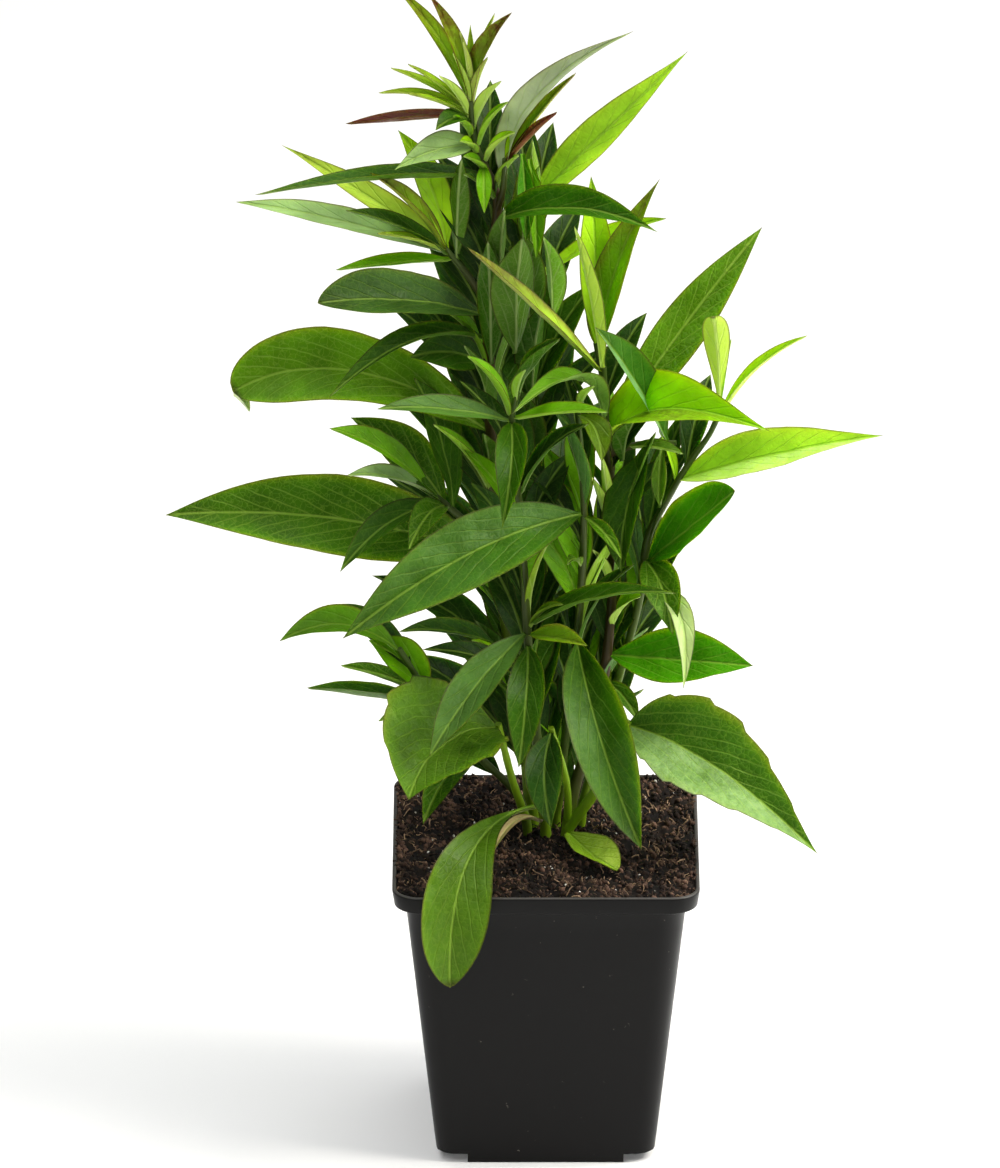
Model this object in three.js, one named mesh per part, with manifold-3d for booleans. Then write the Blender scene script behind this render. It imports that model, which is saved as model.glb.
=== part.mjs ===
// A bushy cushion aster with upright leafy stems, growing in a square black nursery pot.
// Millimetres, +Z up. The origin is the middle of the pot's foot, and -Y is the front.
import * as THREE from "three";
import { mergeVertices } from "three/addons/utils/BufferGeometryUtils.js";
import Module from "manifold-3d";

// Pot, measured from the middle to each side and up from the ground
const POT_HEIGHT = 91.4;
const RIM_HALF = 45;
const COLLAR_HEIGHT = 5.4;
const COLLAR_STEP = 3.8;
const COLLAR_DRAFT = 0.6;
const LIP_ROUND = 0.5;
const WALL = 1.3;
const BASE_HALF = 32;
const RIM_CORNER = 8;
const BASE_CORNER = 6;
const CORNER_STEPS = 4;
const CORNER_WIDTH = 9;
const CORNER_LIFT = 3;
const DRAIN_RADIUS = 2.5;
const DRAIN_REACH = 38;

// Soil
const SOIL_TOP = 89.8;
const SOIL_MOUND = 0.8;
const SOIL_LUMP = 0.7;
const CROWN = new THREE.Vector2(2, 7);
const CROWN_RADIUS = 16;
const CLEARANCE = 0.3;
const STEM_FOOT = 66;
const SOIL_EXIT = 93;

// Leaves
const BLADE = 0.8;
const STALK = 1.7;
const BASE_DEPTH = 0.5;
const EDGE_WAVES = 9;
const WAVE_SHARE = 0.035;
const TOOTH = 0.05;
const BROAD_LEAF = 13;
const STATION_SPACING = 14;
const COARSE_STATIONS = 4;
const INNER_ARCH = 0.1;
const INNER_ROLL = 25;
const INNER_FOLD = 15;

const colours = {
  pot: { color: "#2a2829", roughness: 0.5, metalness: 0 },
  soil: { color: "#2b1d15", roughness: 0.95, metalness: 0 },
  tall: { color: "#3f7018", roughness: 0.45, metalness: 0 },
  front: { color: "#477a20", roughness: 0.45, metalness: 0 },
  middle: { color: "#3a6a1e", roughness: 0.45, metalness: 0 },
  right: { color: "#3d6f1a", roughness: 0.45, metalness: 0 },
  outer: { color: "#6fa52a", roughness: 0.45, metalness: 0 },
  back: { color: "#356414", roughness: 0.45, metalness: 0 },
  left: { color: "#4c7d22", roughness: 0.45, metalness: 0 },
};

// A stem is its route from the soil upwards, its radius at foot and tip, its side shoots, and its leaves.
// A leaf is [height of its joint, place of its tip, arch, width, roll, fold, and what else it has].
// Roll turns the upper face, in degrees, and fold lifts each half of the blade from its rib.
// Extras: lean moves the arch along the leaf, sway bends it sideways, face is the way the blade looks,
// teeth is the count along each edge, and form is one of the forms below.
// The inner leaves fill the middle and the back: [height, turn, rise, length, width].
const stems = {
  tall: {
    foot: [-4, 10],
    route: [[-5, 10, 108], [-8, 10, 131], [-14, 9, 176], [-16, 8, 211], [-16.5, 7, 234], [-17, 6, 254],
      [-16.5, 5, 270], [-14.5, 4, 284], [-14.5, 4, 293], [-18, 3, 302], [-21, 2, 310], [-22, 1, 323]],
    radii: [2.3, 1.1],
    shoots: {
      side: { from: 257, route: [[-22, 5, 266], [-29.5, 2, 277]], radii: [1.2, 0.8] },
      second: { from: 288, route: [[-12.5, 1, 296], [-12, -2, 306]], radii: [1.1, 0.8] },
      low: { from: 180, route: [[-23, 8, 188], [-34, 6, 199]], radii: [1.4, 0.9] },
    },
    leaves: {
      main: [
        [321, [-44, 4, 357], 3, 5.5, -45, 20],
        [321, [-34, -2, 357], 2, 6, -60, 20],
        [320, [-10, -4, 352], 3, 7, 60, 25],
        [322, [-15, 6, 348], 1, 3.5, 0, 20],
        [322, [-25, 0, 345], 1, 3.5, 0, 20],
        [322, [-22, 2, 346], 0, 3, 0, 20],
        [320, [-45, -4, 335], 1, 4, -20, 15],
        [319, [-40, -6, 337], 1, 3.5, -20, 15],
        [320, [-48.5, -6, 328], 2, 4, -10, 20],
        [318, [-40, -9, 329], 1, 3.5, -10, 15],
        [319, [-58, -2, 317], 0, 6.5, 0, 20],
        [317, [-32, -10, 318], 2, 7, -20, 15],
        [309, [-44, -16, 308], 2, 10, -40, 20, { form: "taper" }],
        [299, [-84, -20, 302], 2, 10, 0, 20, { form: "taper" }],
        [303, [-18, -7, 291], 4, 5, 0, 10],
        [285, [32, -24, 292], 5.5, 14, 30, 20, { form: "taper" }],
        [254, [-66, -24, 270], 3, 18, -35, 18, { form: "oval" }],
        [247, [-63, -25, 241], 8, 9, -10, 25, { lean: 0.4 }],
        [238, [-39.5, -4, 245], 3, 13, -50, 10],
        [217, [-91, -8, 236], 12, 24, -50, 14, { lean: 0.65, form: "broad" }],
        [200, [-18, -6, 222], 2, 9, -30, 15],
        [197, [-33, -8, 226], 2, 6, -30, 30],
        [176, [-111, -10, 198], 6, 26, -55, 14],
        [146, [-43, -12, 162], 3, 9, -20, 20],
        [138, [-22, -4, 156], 2, 5, -30, 15],
      ],
      side: [
        [276, [-77, 20, 302], 1, 9, -30, 15, { form: "taper" }],
        [275, [-90, 0, 292], 2, 10, -25, 12],
        [274, [-58, -12, 294], 2, 8, -20, 20],
        [276, [-51, -10, 305], 2, 6.5, -40, 35],
        [276, [-43, 6, 312], 3, 10, -50, 15],
        [272, [-24.5, -6, 308], 2, 7, -25, 20],
        [273, [-61, -8, 274], 0.5, 6.5, -15, 20],
        [276, [-49, -12, 287], 1, 4, -10, 20],
      ],
      second: [
        [305, [3, -8, 323], 0.5, 4.5, 20, 25],
        [305, [8.5, 0, 332], 1, 4.5, 20, 25],
        [304, [-3, 4, 320], 1, 5, 30, 20],
        [298, [25, -6, 347], 9, 11, 40, 20, { lean: 0.35, form: "taper" }],
      ],
      low: [
        [197, [-63, -14, 227], 3, 12, -35, 15],
        [196, [-58, -16, 213], 3, 8, -25, 20],
        [192, [-38.5, -2, 238], 3, 16, -70, 10],
        [194, [-57, 4, 223], 3, 15, -50, 12],
        [195, [-60, -22, 185], 5, 10, -20, 20],
        [194, [-40, -20, 191], 4, 10, -20, 20],
      ],
    },
    inner: [
      [110, 135, 20, 56, 14],
      [124, 122, 20, 60, 15],
      [138, 160, 30, 52, 13],
      [152, 120, 30, 62, 15],
      [166, 150, 35, 50, 12],
      [180, 118, 35, 56, 13],
      [194, 145, 35, 56, 13],
      [208, 116, 40, 50, 12],
      [222, 152, 40, 46, 12],
      [236, 120, 40, 50, 12],
      [250, 145, 45, 42, 11],
      [262, 115, 45, 44, 11],
      [274, 140, 50, 34, 9],
      [286, 110, 45, 34, 9],
      [298, 90, 50, 30, 8],
    ],
  },
  front: {
    foot: [0, 1],
    route: [[-1, -1, 103], [-3, -6, 130], [-5.5, -12, 163], [-7.5, -12, 198], [-10, -16, 231],
      [-8.5, -16, 239]],
    radii: [1.9, 0.9],
    leaves: {
      main: [
        [231, [-23, -22, 253], 2, 7.5, -20, 20],
        [230, [-13, -38, 205], 7, 10, 0, 22, { form: "oval" }],
        [231, [18, -26, 237], 1, 7, 10, 20],
        [230, [-49, -36, 242], 2, 9, -30, 15],
        [236, [-6, -20, 248], 1, 4, 0, 20],
        [164, [1, -16, 193], 2, 4.5, 20, 20],
        [163, [5, -22, 175], 2, 4.5, 20, 15],
        [164, [38, -28, 181], 4, 12, 5, 15, { form: "taper" }],
        [161, [12, -34, 167], 0.5, 8, 30, 25],
        [162, [-34, -46, 137], 3, 14, -15, 12],
        [158, [-8, -36, 129], 8, 12, 0, 15, { sway: 1.5 }],
        [102, [-28, -54, 67], 22, 21.5, -10, 12, { sway: -7.5, face: 270, form: "spoon" }],
        [96, [-16, -18, 93], 6, 4, 0, 10],
      ],
    },
    inner: [
      [142, 190, 25, 36, 9],
      [170, 150, 55, 34, 9],
      [205, 340, 50, 34, 9],
      [215, 160, 55, 30, 8],
    ],
  },
  middle: {
    foot: [3, 7.5],
    route: [[4, 6, 103], [7, 0, 135], [10, -4, 168], [11, -6, 197], [10, -6, 218], [9, -5, 230]],
    radii: [1.8, 0.8],
    leaves: {
      main: [
        [197, [-59, -50, 176], 9, 22, -50, 12, { sway: 5 }],
        [196, [22, -22, 189], 2, 5, 20, 20],
        [198, [1, -12, 234], 3, 13, -20, 15],
        [228, [16, -16, 217], 5, 9, 0, 15],
        [229, [14, -13, 240], 1, 4, 0, 20],
        [156, [28, -34, 102], 14, 20, 25, 25, { sway: -10 }],
        [180, [6, -14, 184], 2, 4, 0, 20],
      ],
    },
    inner: [
      [150, 345, 60, 36, 9],
      [176, 100, 60, 34, 9],
      [208, 110, 60, 30, 8],
      [186, 170, 50, 36, 9],
    ],
  },
  right: {
    foot: [6.5, 2],
    route: [[8, 3, 103], [16, 8, 132], [19.5, 8, 167], [19, 8, 195], [17.5, 7, 218], [16.5, 6, 238]],
    radii: [2.2, 1],
    shoots: {
      rear: { from: 200, route: [[19, 11, 215], [14.5, 15, 242]], radii: [1.3, 0.8] },
      twig: { from: 210, route: [[27, 10, 212], [38, 9, 213]], radii: [1.2, 0.8] },
      stalk: { from: 93, route: [[15, -1, 107], [24, -4, 130]], radii: [1.9, 1.2] },
      second: { from: 95, route: [[6, -4, 111], [1.5, -9, 130]], radii: [1.2, 0.9] },
    },
    leaves: {
      main: [
        [236, [-23, -20, 286], 0.5, 8, -30, 20],
        [236, [8, 2, 284], 1, 6.5, 20, 20],
        [219, [-10, -30, 238], 13, 10, 0, 20, { lean: 0.3 }],
        [215, [65, -24, 230], 9, 22.5, 35, 25, { lean: 0.35, sway: -2, form: "taper" }],
        [215, [63, 26, 274], 1.5, 15, 60, 12],
        [163, [32, -4, 222], 3, 13, 50, 12],
        [182, [16, -6, 216], 1, 4, 0, 20],
        [182, [13, -4, 208], 1, 4.5, 0, 20],
        [166, [13.5, -2, 184], 1, 4.5, 0, 20],
        [146, [60.5, -14, 152], 0, 19, 40, 12],
        [155, [28, -4, 170], 2, 9, 40, 15],
        [138, [27, 0, 128], 2, 6, 20, 20],
        [92, [21, -29, 93], 0.5, 13.5, 0, 20, { form: "oval", sway: -1.5 }],
      ],
      rear: [
        [240, [13, 26, 290], 3, 11, 0, 15],
        [240, [33, 16, 293], 3, 12, 50, 20, { form: "taper" }],
      ],
      twig: [
        [212.8, [14, -20, 261], 2, 13, -80, 25],
      ],
      stalk: [
        [129, [80, -22, 95], 5, 29, 45, 22, { lean: 0.35, teeth: 6, form: "taper" }],
      ],
      second: [
        [129, [1.5, -27, 106], 6, 12, 5, 15, { sway: -2 }],
      ],
    },
    inner: [
      [112, 0, 12, 46, 13],
      [134, 85, 30, 44, 12],
      [150, 75, 35, 42, 11],
      [172, 88, 35, 40, 11],
      [186, 80, 40, 38, 10],
      [204, 20, 50, 34, 10],
      [226, 50, 50, 30, 9],
    ],
  },
  outer: {
    foot: [10.5, 9],
    route: [[12, 9, 103], [20, 11, 132], [27.5, 12, 162], [30, 12, 182], [34, 12, 191], [39, 12, 200.5],
      [43.5, 12, 208], [47.5, 12, 214], [51, 12, 222]],
    radii: [1.6, 0.8],
    leaves: {
      main: [
        [221, [48.5, 6, 254], 2, 8.5, 20, 15, { form: "blunt" }],
        [221, [54, 16, 243], 1, 3.5, 0, 20],
        [220, [76, 6, 248], 3, 5, 20, 20],
        [200, [98, -12, 224], 1.5, 16, 40, 18, { form: "taper" }],
        [190, [34, 4, 211], 2, 4, 0, 20],
        [199, [33, 17, 214], 1, 4, 0, 20],
        [173, [55, -6, 204], 0, 19.5, 50, 15, { form: "oval" }],
        [165, [40, -20, 147], 12, 7.5, 0, 15, { sway: 3 }],
        [175, [37, -12, 161], 5, 12, 20, 15],
      ],
    },
    inner: [
      [120, 75, 25, 36, 12],
      [142, 60, 20, 36, 11],
      [158, 60, 30, 38, 11],
      [182, 80, 40, 34, 10],
      [204, 70, 45, 30, 9],
    ],
  },
  back: {
    foot: [2.5, 13.5],
    route: [[1, 15, 103], [-2, 20, 150], [-4, 22, 200], [-4.5, 22, 253], [-4.5, 22, 290]],
    radii: [2, 1],
    leaves: {
      main: [
        [283, [41, 20, 331], 0, 12.5, 50, 15, { form: "taper" }],
        [253, [-4, 20, 304], 2, 11, 0, 20],
        [258, [35, 20, 279], 0, 8, 20, 15, { sway: 8 }],
      ],
    },
    inner: [
      [108, 75, 15, 62, 16],
      [120, 105, 15, 62, 16],
      [133, 65, 25, 56, 14],
      [146, 90, 25, 66, 16],
      [159, 108, 30, 50, 13],
      [172, 62, 35, 58, 15],
      [186, 95, 35, 60, 15],
      [200, 70, 40, 48, 12],
      [213, 105, 40, 56, 14],
      [226, 85, 40, 50, 13],
      [240, 62, 45, 46, 12],
      [254, 100, 45, 46, 12],
      [268, 75, 50, 40, 11],
      [280, 105, 50, 34, 10],
    ],
  },
  left: {
    foot: [-5.5, 4],
    route: [[-8, 4.5, 102], [-19.5, 2, 116], [-34, -4, 138], [-43, -6, 154]],
    radii: [1.6, 0.9],
    shoots: {
      stalk: { from: 95, route: [[-10, -2, 111], [-14, -6, 130]], radii: [1.3, 1] },
    },
    leaves: {
      main: [
        [153, [-78, -10, 158], 7, 13, -20, 15],
        [138, [-60, -16, 153], 1, 8.5, -10, 20],
        [139, [-52, -2, 155], 2, 14, -40, 20],
        [135, [-70, -14, 145], 0.5, 12, 5, 15],
        [134, [-49, -20, 137], 1, 6, -10, 20],
        [117, [-36, -27, 107], 5, 11, -10, 15],
      ],
      stalk: [
        [129, [-40, -42, 121.5], 5, 40, -20, 22, { sway: -4, teeth: 5 }],
      ],
    },
    inner: [
      [108, 140, 5, 30, 10],
      [146, 140, 20, 36, 10],
    ],
  },
};

// How a blade widens from its joint and narrows to its tip
const forms = {
  lance: [1.05, 1.15],
  taper: [0.8, 1.4],
  oval: [1, 0.7],
  broad: [0.8, 0.5],
  blunt: [1.5, 0.5],
  spoon: [2.2, 0.75],
};

// The faces between rings of equal count, with the diagonal turned where flips says so
function sideFaces(rings, flips = []) {
  const count = rings[0].length;
  const faces = [];
  for (let i = 0; i < rings.length - 1; i++) {
    for (let j = 0; j < count; j++) {
      const [a, b] = [i * count + j, i * count + ((j + 1) % count)];
      const [c, d] = [a + count, b + count];
      faces.push(...(flips[j] ? [a, b, c, b, d, c] : [a, b, d, a, d, c]));
    }
  }
  return faces;
}

// Joins rings into one closed skin, with a fan over each end
function skin(rings) {
  const points = rings.flat();
  const faces = sideFaces(rings);
  closeEnd(points, faces, rings[0], 0, true);
  closeEnd(points, faces, rings.at(-1), points.length - 1 - rings[0].length, false);
  return solid(points, faces);
}

function closeEnd(points, faces, ring, start, first) {
  const middle = points.length;
  const centre = ring.reduce((sum, p) => sum.add(p), new THREE.Vector3());
  points.push(centre.divideScalar(ring.length));
  for (let j = 0; j < ring.length; j++) {
    const [a, b] = [start + j, start + ((j + 1) % ring.length)];
    faces.push(...(first ? [b, a, middle] : [a, b, middle]));
  }
}

// A closed solid from points and faces, turned so that its faces point out
function solid(points, faces) {
  let volume = 0;
  for (let i = 0; i < faces.length; i += 3) {
    const [a, b, c] = [points[faces[i]], points[faces[i + 1]], points[faces[i + 2]]];
    volume += a.dot(b.clone().cross(c));
  }
  const out = volume > 0 ? faces : faces.slice().reverse();
  return new wasm.Manifold(new wasm.Mesh({
    numProp: 3,
    vertProperties: new Float32Array(points.flatMap((p) => p.toArray())),
    triVerts: new Uint32Array(out),
  }));
}

function fromGeometry(geometry) {
  geometry.deleteAttribute("normal");
  geometry.deleteAttribute("uv");
  const merged = mergeVertices(geometry);
  return new wasm.Manifold(new wasm.Mesh({
    numProp: 3,
    vertProperties: new Float32Array(merged.attributes.position.array),
    triVerts: new Uint32Array(merged.index.array),
  }));
}

function post(radius, low, high, x, y) {
  const geometry = new THREE.CylinderGeometry(radius, radius, high - low, 8);
  geometry.rotateX(Math.PI / 2).translate(x, y, (low + high) / 2);
  return fromGeometry(geometry);
}

// A level ring with four straight sides and round corners
function squareRing(half, corner, z) {
  const ring = [];
  for (let side = 0; side < 4; side++) {
    for (let step = 0; step <= CORNER_STEPS; step++) {
      const angle = (side + step / CORNER_STEPS) * Math.PI / 2;
      const [signX, signY] = [side === 0 || side === 3 ? 1 : -1, side < 2 ? 1 : -1];
      const reach = half - corner;
      ring.push(new THREE.Vector3(
        signX * reach + corner * Math.cos(angle),
        signY * reach + corner * Math.sin(angle),
        z,
      ));
    }
  }
  return ring;
}

// Half width of the pot's body, outside, at a height
function bodyHalf(z) {
  const share = z / (POT_HEIGHT - COLLAR_HEIGHT);
  return THREE.MathUtils.lerp(BASE_HALF, RIM_HALF - COLLAR_STEP, share);
}

function block(wide, deep, high, x, y, z) {
  return fromGeometry(new THREE.BoxGeometry(wide, deep, high).translate(x, y, z));
}

// The four raised corners under the pot, grown by a margin
function raisedCorners(margin) {
  const inner = BASE_HALF - CORNER_WIDTH - margin;
  const [low, high] = [-1, CORNER_LIFT + margin];
  const size = RIM_HALF - inner;
  const place = inner + size / 2;
  const corners = [[1, 1], [-1, 1], [-1, -1], [1, -1]].map(([signX, signY]) => (
    block(size, size, high - low, signX * place, signY * place, (low + high) / 2)
  ));
  return wasm.Manifold.union(corners);
}

// The room inside the pot's walls, less a clearance
function potRoom(clearance, top) {
  const shoulder = POT_HEIGHT - COLLAR_HEIGHT + WALL + clearance;
  const [floor, corner] = [WALL + clearance, RIM_CORNER - WALL];
  const half = (z) => bodyHalf(z) - WALL - clearance;
  const edge = RIM_HALF - WALL - COLLAR_DRAFT - clearance;
  const rings = [
    squareRing(half(floor), BASE_CORNER - WALL, floor),
    squareRing(half(shoulder), corner, shoulder),
    squareRing(edge, corner, shoulder),
    ...top(edge, corner),
  ];
  return skin(rings).subtract(raisedCorners(WALL + clearance));
}

function potSolid() {
  const shoulder = POT_HEIGHT - COLLAR_HEIGHT;
  const outside = skin([
    squareRing(BASE_HALF - LIP_ROUND, BASE_CORNER, 0),
    squareRing(BASE_HALF, BASE_CORNER, LIP_ROUND),
    squareRing(bodyHalf(shoulder), RIM_CORNER, shoulder),
    squareRing(RIM_HALF - COLLAR_DRAFT, RIM_CORNER, shoulder),
    squareRing(RIM_HALF, RIM_CORNER, POT_HEIGHT - LIP_ROUND),
    squareRing(RIM_HALF - LIP_ROUND, RIM_CORNER, POT_HEIGHT),
  ]);
  const room = potRoom(0, (edge, corner) => [squareRing(edge + COLLAR_DRAFT, corner, POT_HEIGHT + 1)]);
  let pot = outside.subtract(raisedCorners(0)).subtract(room);
  for (let i = 0; i < 4; i++) {
    const angle = (i + 0.5) * Math.PI / 2;
    const [x, y] = [DRAIN_REACH * Math.cos(angle), DRAIN_REACH * Math.sin(angle)];
    pot = pot.subtract(post(DRAIN_RADIUS, -1, CORNER_LIFT + 2 * WALL, x, y));
  }
  return pot;
}

// Height of the soil: a low mound round the crown, with lumps
function soilHeight(x, y) {
  const away = Math.hypot(x - CROWN.x, y - CROWN.y) / CROWN_RADIUS;
  const mound = SOIL_MOUND * Math.exp(-away * away);
  const broad = Math.sin(0.31 * x + 1.3) * Math.cos(0.27 * y);
  const small = 0.6 * Math.sin(0.53 * y - 0.41 * x);
  return SOIL_TOP + mound + SOIL_LUMP * (broad + small);
}

function soilSolid() {
  let soil = potRoom(CLEARANCE, (edge, corner) => [1, 0.82, 0.62, 0.42, 0.2].map((share) => {
    const ring = squareRing(edge * share, corner * share, 0);
    ring.forEach((p) => p.setZ(soilHeight(p.x, p.y)));
    return ring;
  }));
  for (const stem of Object.values(stems)) {
    const [x, y] = stem.foot;
    soil = soil.subtract(post(stem.radii[0] + CLEARANCE, STEM_FOOT - CLEARANCE, POT_HEIGHT + 5, x, y));
  }
  return soil;
}

// A round shoot along a route, thinner towards its tip
function shootSolid(curve, [thick, thin], sides, steps) {
  const frames = curve.computeFrenetFrames(steps, false);
  const rings = [];
  for (let i = 0; i <= steps; i++) {
    const centre = curve.getPointAt(i / steps);
    const radius = THREE.MathUtils.lerp(thick, thin, i / steps);
    const ring = [];
    for (let j = 0; j < sides; j++) {
      const angle = j / sides * 2 * Math.PI;
      ring.push(centre.clone()
        .addScaledVector(frames.normals[i], radius * Math.cos(angle))
        .addScaledVector(frames.binormals[i], radius * Math.sin(angle)));
    }
    rings.push(ring);
  }
  return skin(rings);
}

function curveThrough(points) {
  return new THREE.CatmullRomCurve3(points.map((p) => new THREE.Vector3(...p)), false, "centripetal");
}

// The point of a rising curve at a height
function atHeight(curve, z) {
  let [low, high] = [0, 1];
  for (let i = 0; i < 30; i++) {
    const middle = (low + high) / 2;
    [low, high] = curve.getPoint(middle).z < z ? [middle, high] : [low, middle];
  }
  return curve.getPoint(low);
}

// Share of the full width at a place along the leaf, from joint (0) to tip (1)
function outline(u, form) {
  const [rise, fall] = forms[form];
  const widest = rise / (rise + fall);
  const shape = (t) => t ** rise * (1 - t) ** fall;
  return shape(u) / shape(widest);
}

// How many places along a leaf its width is given at
function stations(length) {
  return THREE.MathUtils.clamp(Math.round(length / STATION_SPACING) + 1, 3, 8);
}

// One leaf: a thin blade folded along its rib, which arches from its joint on the stem to its tip
function leafSolid(axis, [, tipPlace, arch, width, roll, fold, extra = {}]) {
  const { lean = 0.5, sway = 0, face, teeth = 0, form = "lance", coarse = false } = extra;
  const tip = new THREE.Vector3(...tipPlace);
  const joint = axis.clone().lerp(tip, BASE_DEPTH / axis.distanceTo(tip));
  const chord = tip.clone().sub(joint);
  const azimuth = face === undefined ? Math.atan2(chord.y, chord.x) : THREE.MathUtils.degToRad(face);
  const level = new THREE.Vector3(-Math.sin(azimuth), Math.cos(azimuth), 0);
  const upward = chord.clone().normalize().cross(level).normalize();
  const bend = joint.clone().addScaledVector(chord, lean)
    .addScaledVector(upward, 2 * arch)
    .addScaledVector(level, 2 * sway);
  const rib = new THREE.QuadraticBezierCurve3(joint, bend, tip);
  const [turn, lift] = [roll, fold].map(THREE.MathUtils.degToRad);
  const steps = teeth ? 2 * teeth : coarse ? COARSE_STATIONS : stations(chord.length());
  const rings = [];
  for (let i = 0; i < steps; i++) {
    const u = i / steps;
    const along = rib.getTangent(u);
    const side = level.clone().addScaledVector(along, -level.dot(along)).normalize();
    const up = along.clone().cross(side);
    const across = side.clone().multiplyScalar(Math.cos(turn)).addScaledVector(up, Math.sin(turn));
    const normal = up.clone().multiplyScalar(Math.cos(turn)).addScaledVector(side, -Math.sin(turn));
    const tooth = teeth ? (i % 2 ? TOOTH : -TOOTH) : 0;
    const half = Math.max(STALK, width * outline(u, form) * (1 + tooth)) / 2;
    const wave = width > BROAD_LEAF ? 2 * half * WAVE_SHARE * Math.sin(EDGE_WAVES * u + tip.x) : 0;
    const centre = rib.getPoint(u);
    const edge = (sign) => centre.clone()
      .addScaledVector(across, sign * half * Math.cos(lift))
      .addScaledVector(normal, half * Math.sin(lift) + sign * wave);
    const above = [edge(1), centre, edge(-1)];
    const below = above.map((p) => p.clone().addScaledVector(normal, -BLADE));
    rings.push([...above, ...below.reverse()]);
  }
  return bladeSkin(rings, tip);
}

// A leaf given by the way it turns and rises from its joint, its length and its width
function innerLeaf(joint, [height, turn, rise, length, width]) {
  const [azimuth, slope] = [turn, rise].map(THREE.MathUtils.degToRad);
  const reach = length * Math.cos(slope);
  const tip = [
    joint.x + reach * Math.cos(azimuth),
    joint.y + reach * Math.sin(azimuth),
    joint.z + length * Math.sin(slope),
  ];
  const roll = INNER_ROLL * Math.cos(azimuth);
  return leafSolid(joint, [height, tip, length * INNER_ARCH, width, roll, INNER_FOLD, { coarse: true }]);
}

// A blade's skin, split alike above and below and drawn to a point at the tip
function bladeSkin(rings, tip) {
  const points = [...rings.flat(), tip];
  const faces = sideFaces(rings, [false, true, false, false, true, false]);
  const count = rings[0].length;
  const last = (rings.length - 1) * count;
  for (let j = 0; j < count; j++) {
    faces.push(last + j, last + ((j + 1) % count), points.length - 1);
  }
  faces.push(0, 5, 4, 0, 4, 1, 1, 4, 3, 1, 3, 2);
  return solid(points, faces);
}

// A leafy stem with its side shoots and all its leaves, fused in one body
function stemSolids(stem) {
  const [x, y] = stem.foot;
  const straight = [STEM_FOOT, (STEM_FOOT + SOIL_EXIT) / 2, SOIL_EXIT].map((z) => [x, y, z]);
  const main = curveThrough([...straight, ...stem.route]);
  const pieces = [];
  const curves = { main };
  pieces.push(shootSolid(main, stem.radii, 8, 6 + stem.route.length));
  for (const [name, shoot] of Object.entries(stem.shoots ?? {})) {
    curves[name] = curveThrough([atHeight(main, shoot.from).toArray(), ...shoot.route]);
    pieces.push(shootSolid(curves[name], shoot.radii, 6, 4));
  }
  for (const [name, leaves] of Object.entries(stem.leaves)) {
    for (const leaf of leaves) {
      pieces.push(leafSolid(atHeight(curves[name], leaf[0]), leaf));
    }
  }
  for (const row of stem.inner) {
    pieces.push(innerLeaf(atHeight(main, row[0]), row));
  }
  return pieces;
}

function toMesh(name, solidBody, look) {
  const { vertProperties, triVerts } = solidBody.getMesh();
  const geometry = new THREE.BufferGeometry();
  geometry.setAttribute("position", new THREE.BufferAttribute(new Float32Array(vertProperties), 3));
  geometry.setIndex(new THREE.BufferAttribute(new Uint32Array(triVerts), 1));
  geometry.computeVertexNormals();
  const mesh = new THREE.Mesh(geometry, new THREE.MeshStandardMaterial(look));
  mesh.name = name;
  return mesh;
}

const wasm = await Module();
wasm.setup();

const plant = new THREE.Group();
plant.add(toMesh("pot", potSolid(), colours.pot));
plant.add(toMesh("soil", soilSolid(), colours.soil));
for (const [name, stem] of Object.entries(stems)) {
  plant.add(toMesh(`stem_${name}`, wasm.Manifold.union(stemSolids(stem)).simplify(0.01), colours[name]));
}

export default plant;
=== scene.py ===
import functools
import math

import bmesh
import bpy
import numpy as np
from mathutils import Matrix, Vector


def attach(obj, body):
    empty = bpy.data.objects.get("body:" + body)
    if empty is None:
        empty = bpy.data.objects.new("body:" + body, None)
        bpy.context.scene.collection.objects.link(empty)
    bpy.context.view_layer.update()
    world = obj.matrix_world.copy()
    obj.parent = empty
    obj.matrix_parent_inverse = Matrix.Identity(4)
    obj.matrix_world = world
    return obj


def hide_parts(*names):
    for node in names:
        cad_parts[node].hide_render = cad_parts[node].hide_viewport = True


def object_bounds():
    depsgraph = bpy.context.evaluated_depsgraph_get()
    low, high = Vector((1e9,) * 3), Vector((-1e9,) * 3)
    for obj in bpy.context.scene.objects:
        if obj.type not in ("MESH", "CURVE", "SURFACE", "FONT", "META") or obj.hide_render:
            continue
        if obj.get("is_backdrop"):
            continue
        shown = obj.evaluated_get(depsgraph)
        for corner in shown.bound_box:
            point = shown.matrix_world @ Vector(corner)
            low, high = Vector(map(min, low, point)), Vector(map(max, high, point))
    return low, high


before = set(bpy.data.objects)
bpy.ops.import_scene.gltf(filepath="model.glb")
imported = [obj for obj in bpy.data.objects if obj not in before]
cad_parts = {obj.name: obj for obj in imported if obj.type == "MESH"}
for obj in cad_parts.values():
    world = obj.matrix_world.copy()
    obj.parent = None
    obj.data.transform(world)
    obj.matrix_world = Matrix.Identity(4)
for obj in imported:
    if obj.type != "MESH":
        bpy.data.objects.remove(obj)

cad_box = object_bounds()

MM = 0.001

# Kinds of node that come up often
SMOOTH = "GeometryNodeSetShadeSmooth"
VECTOR = "ShaderNodeVectorMath"
STORE = "GeometryNodeStoreNamedAttribute"
READ = "GeometryNodeInputNamedAttribute"
RANDOM = "FunctionNodeRandomValue"
ATTRIBUTE = "ShaderNodeAttribute"
NOISE = "ShaderNodeTexNoise"
RAMP = "ShaderNodeMapRange"
MIX = "ShaderNodeMix"
BUMP = "ShaderNodeBump"

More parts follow.
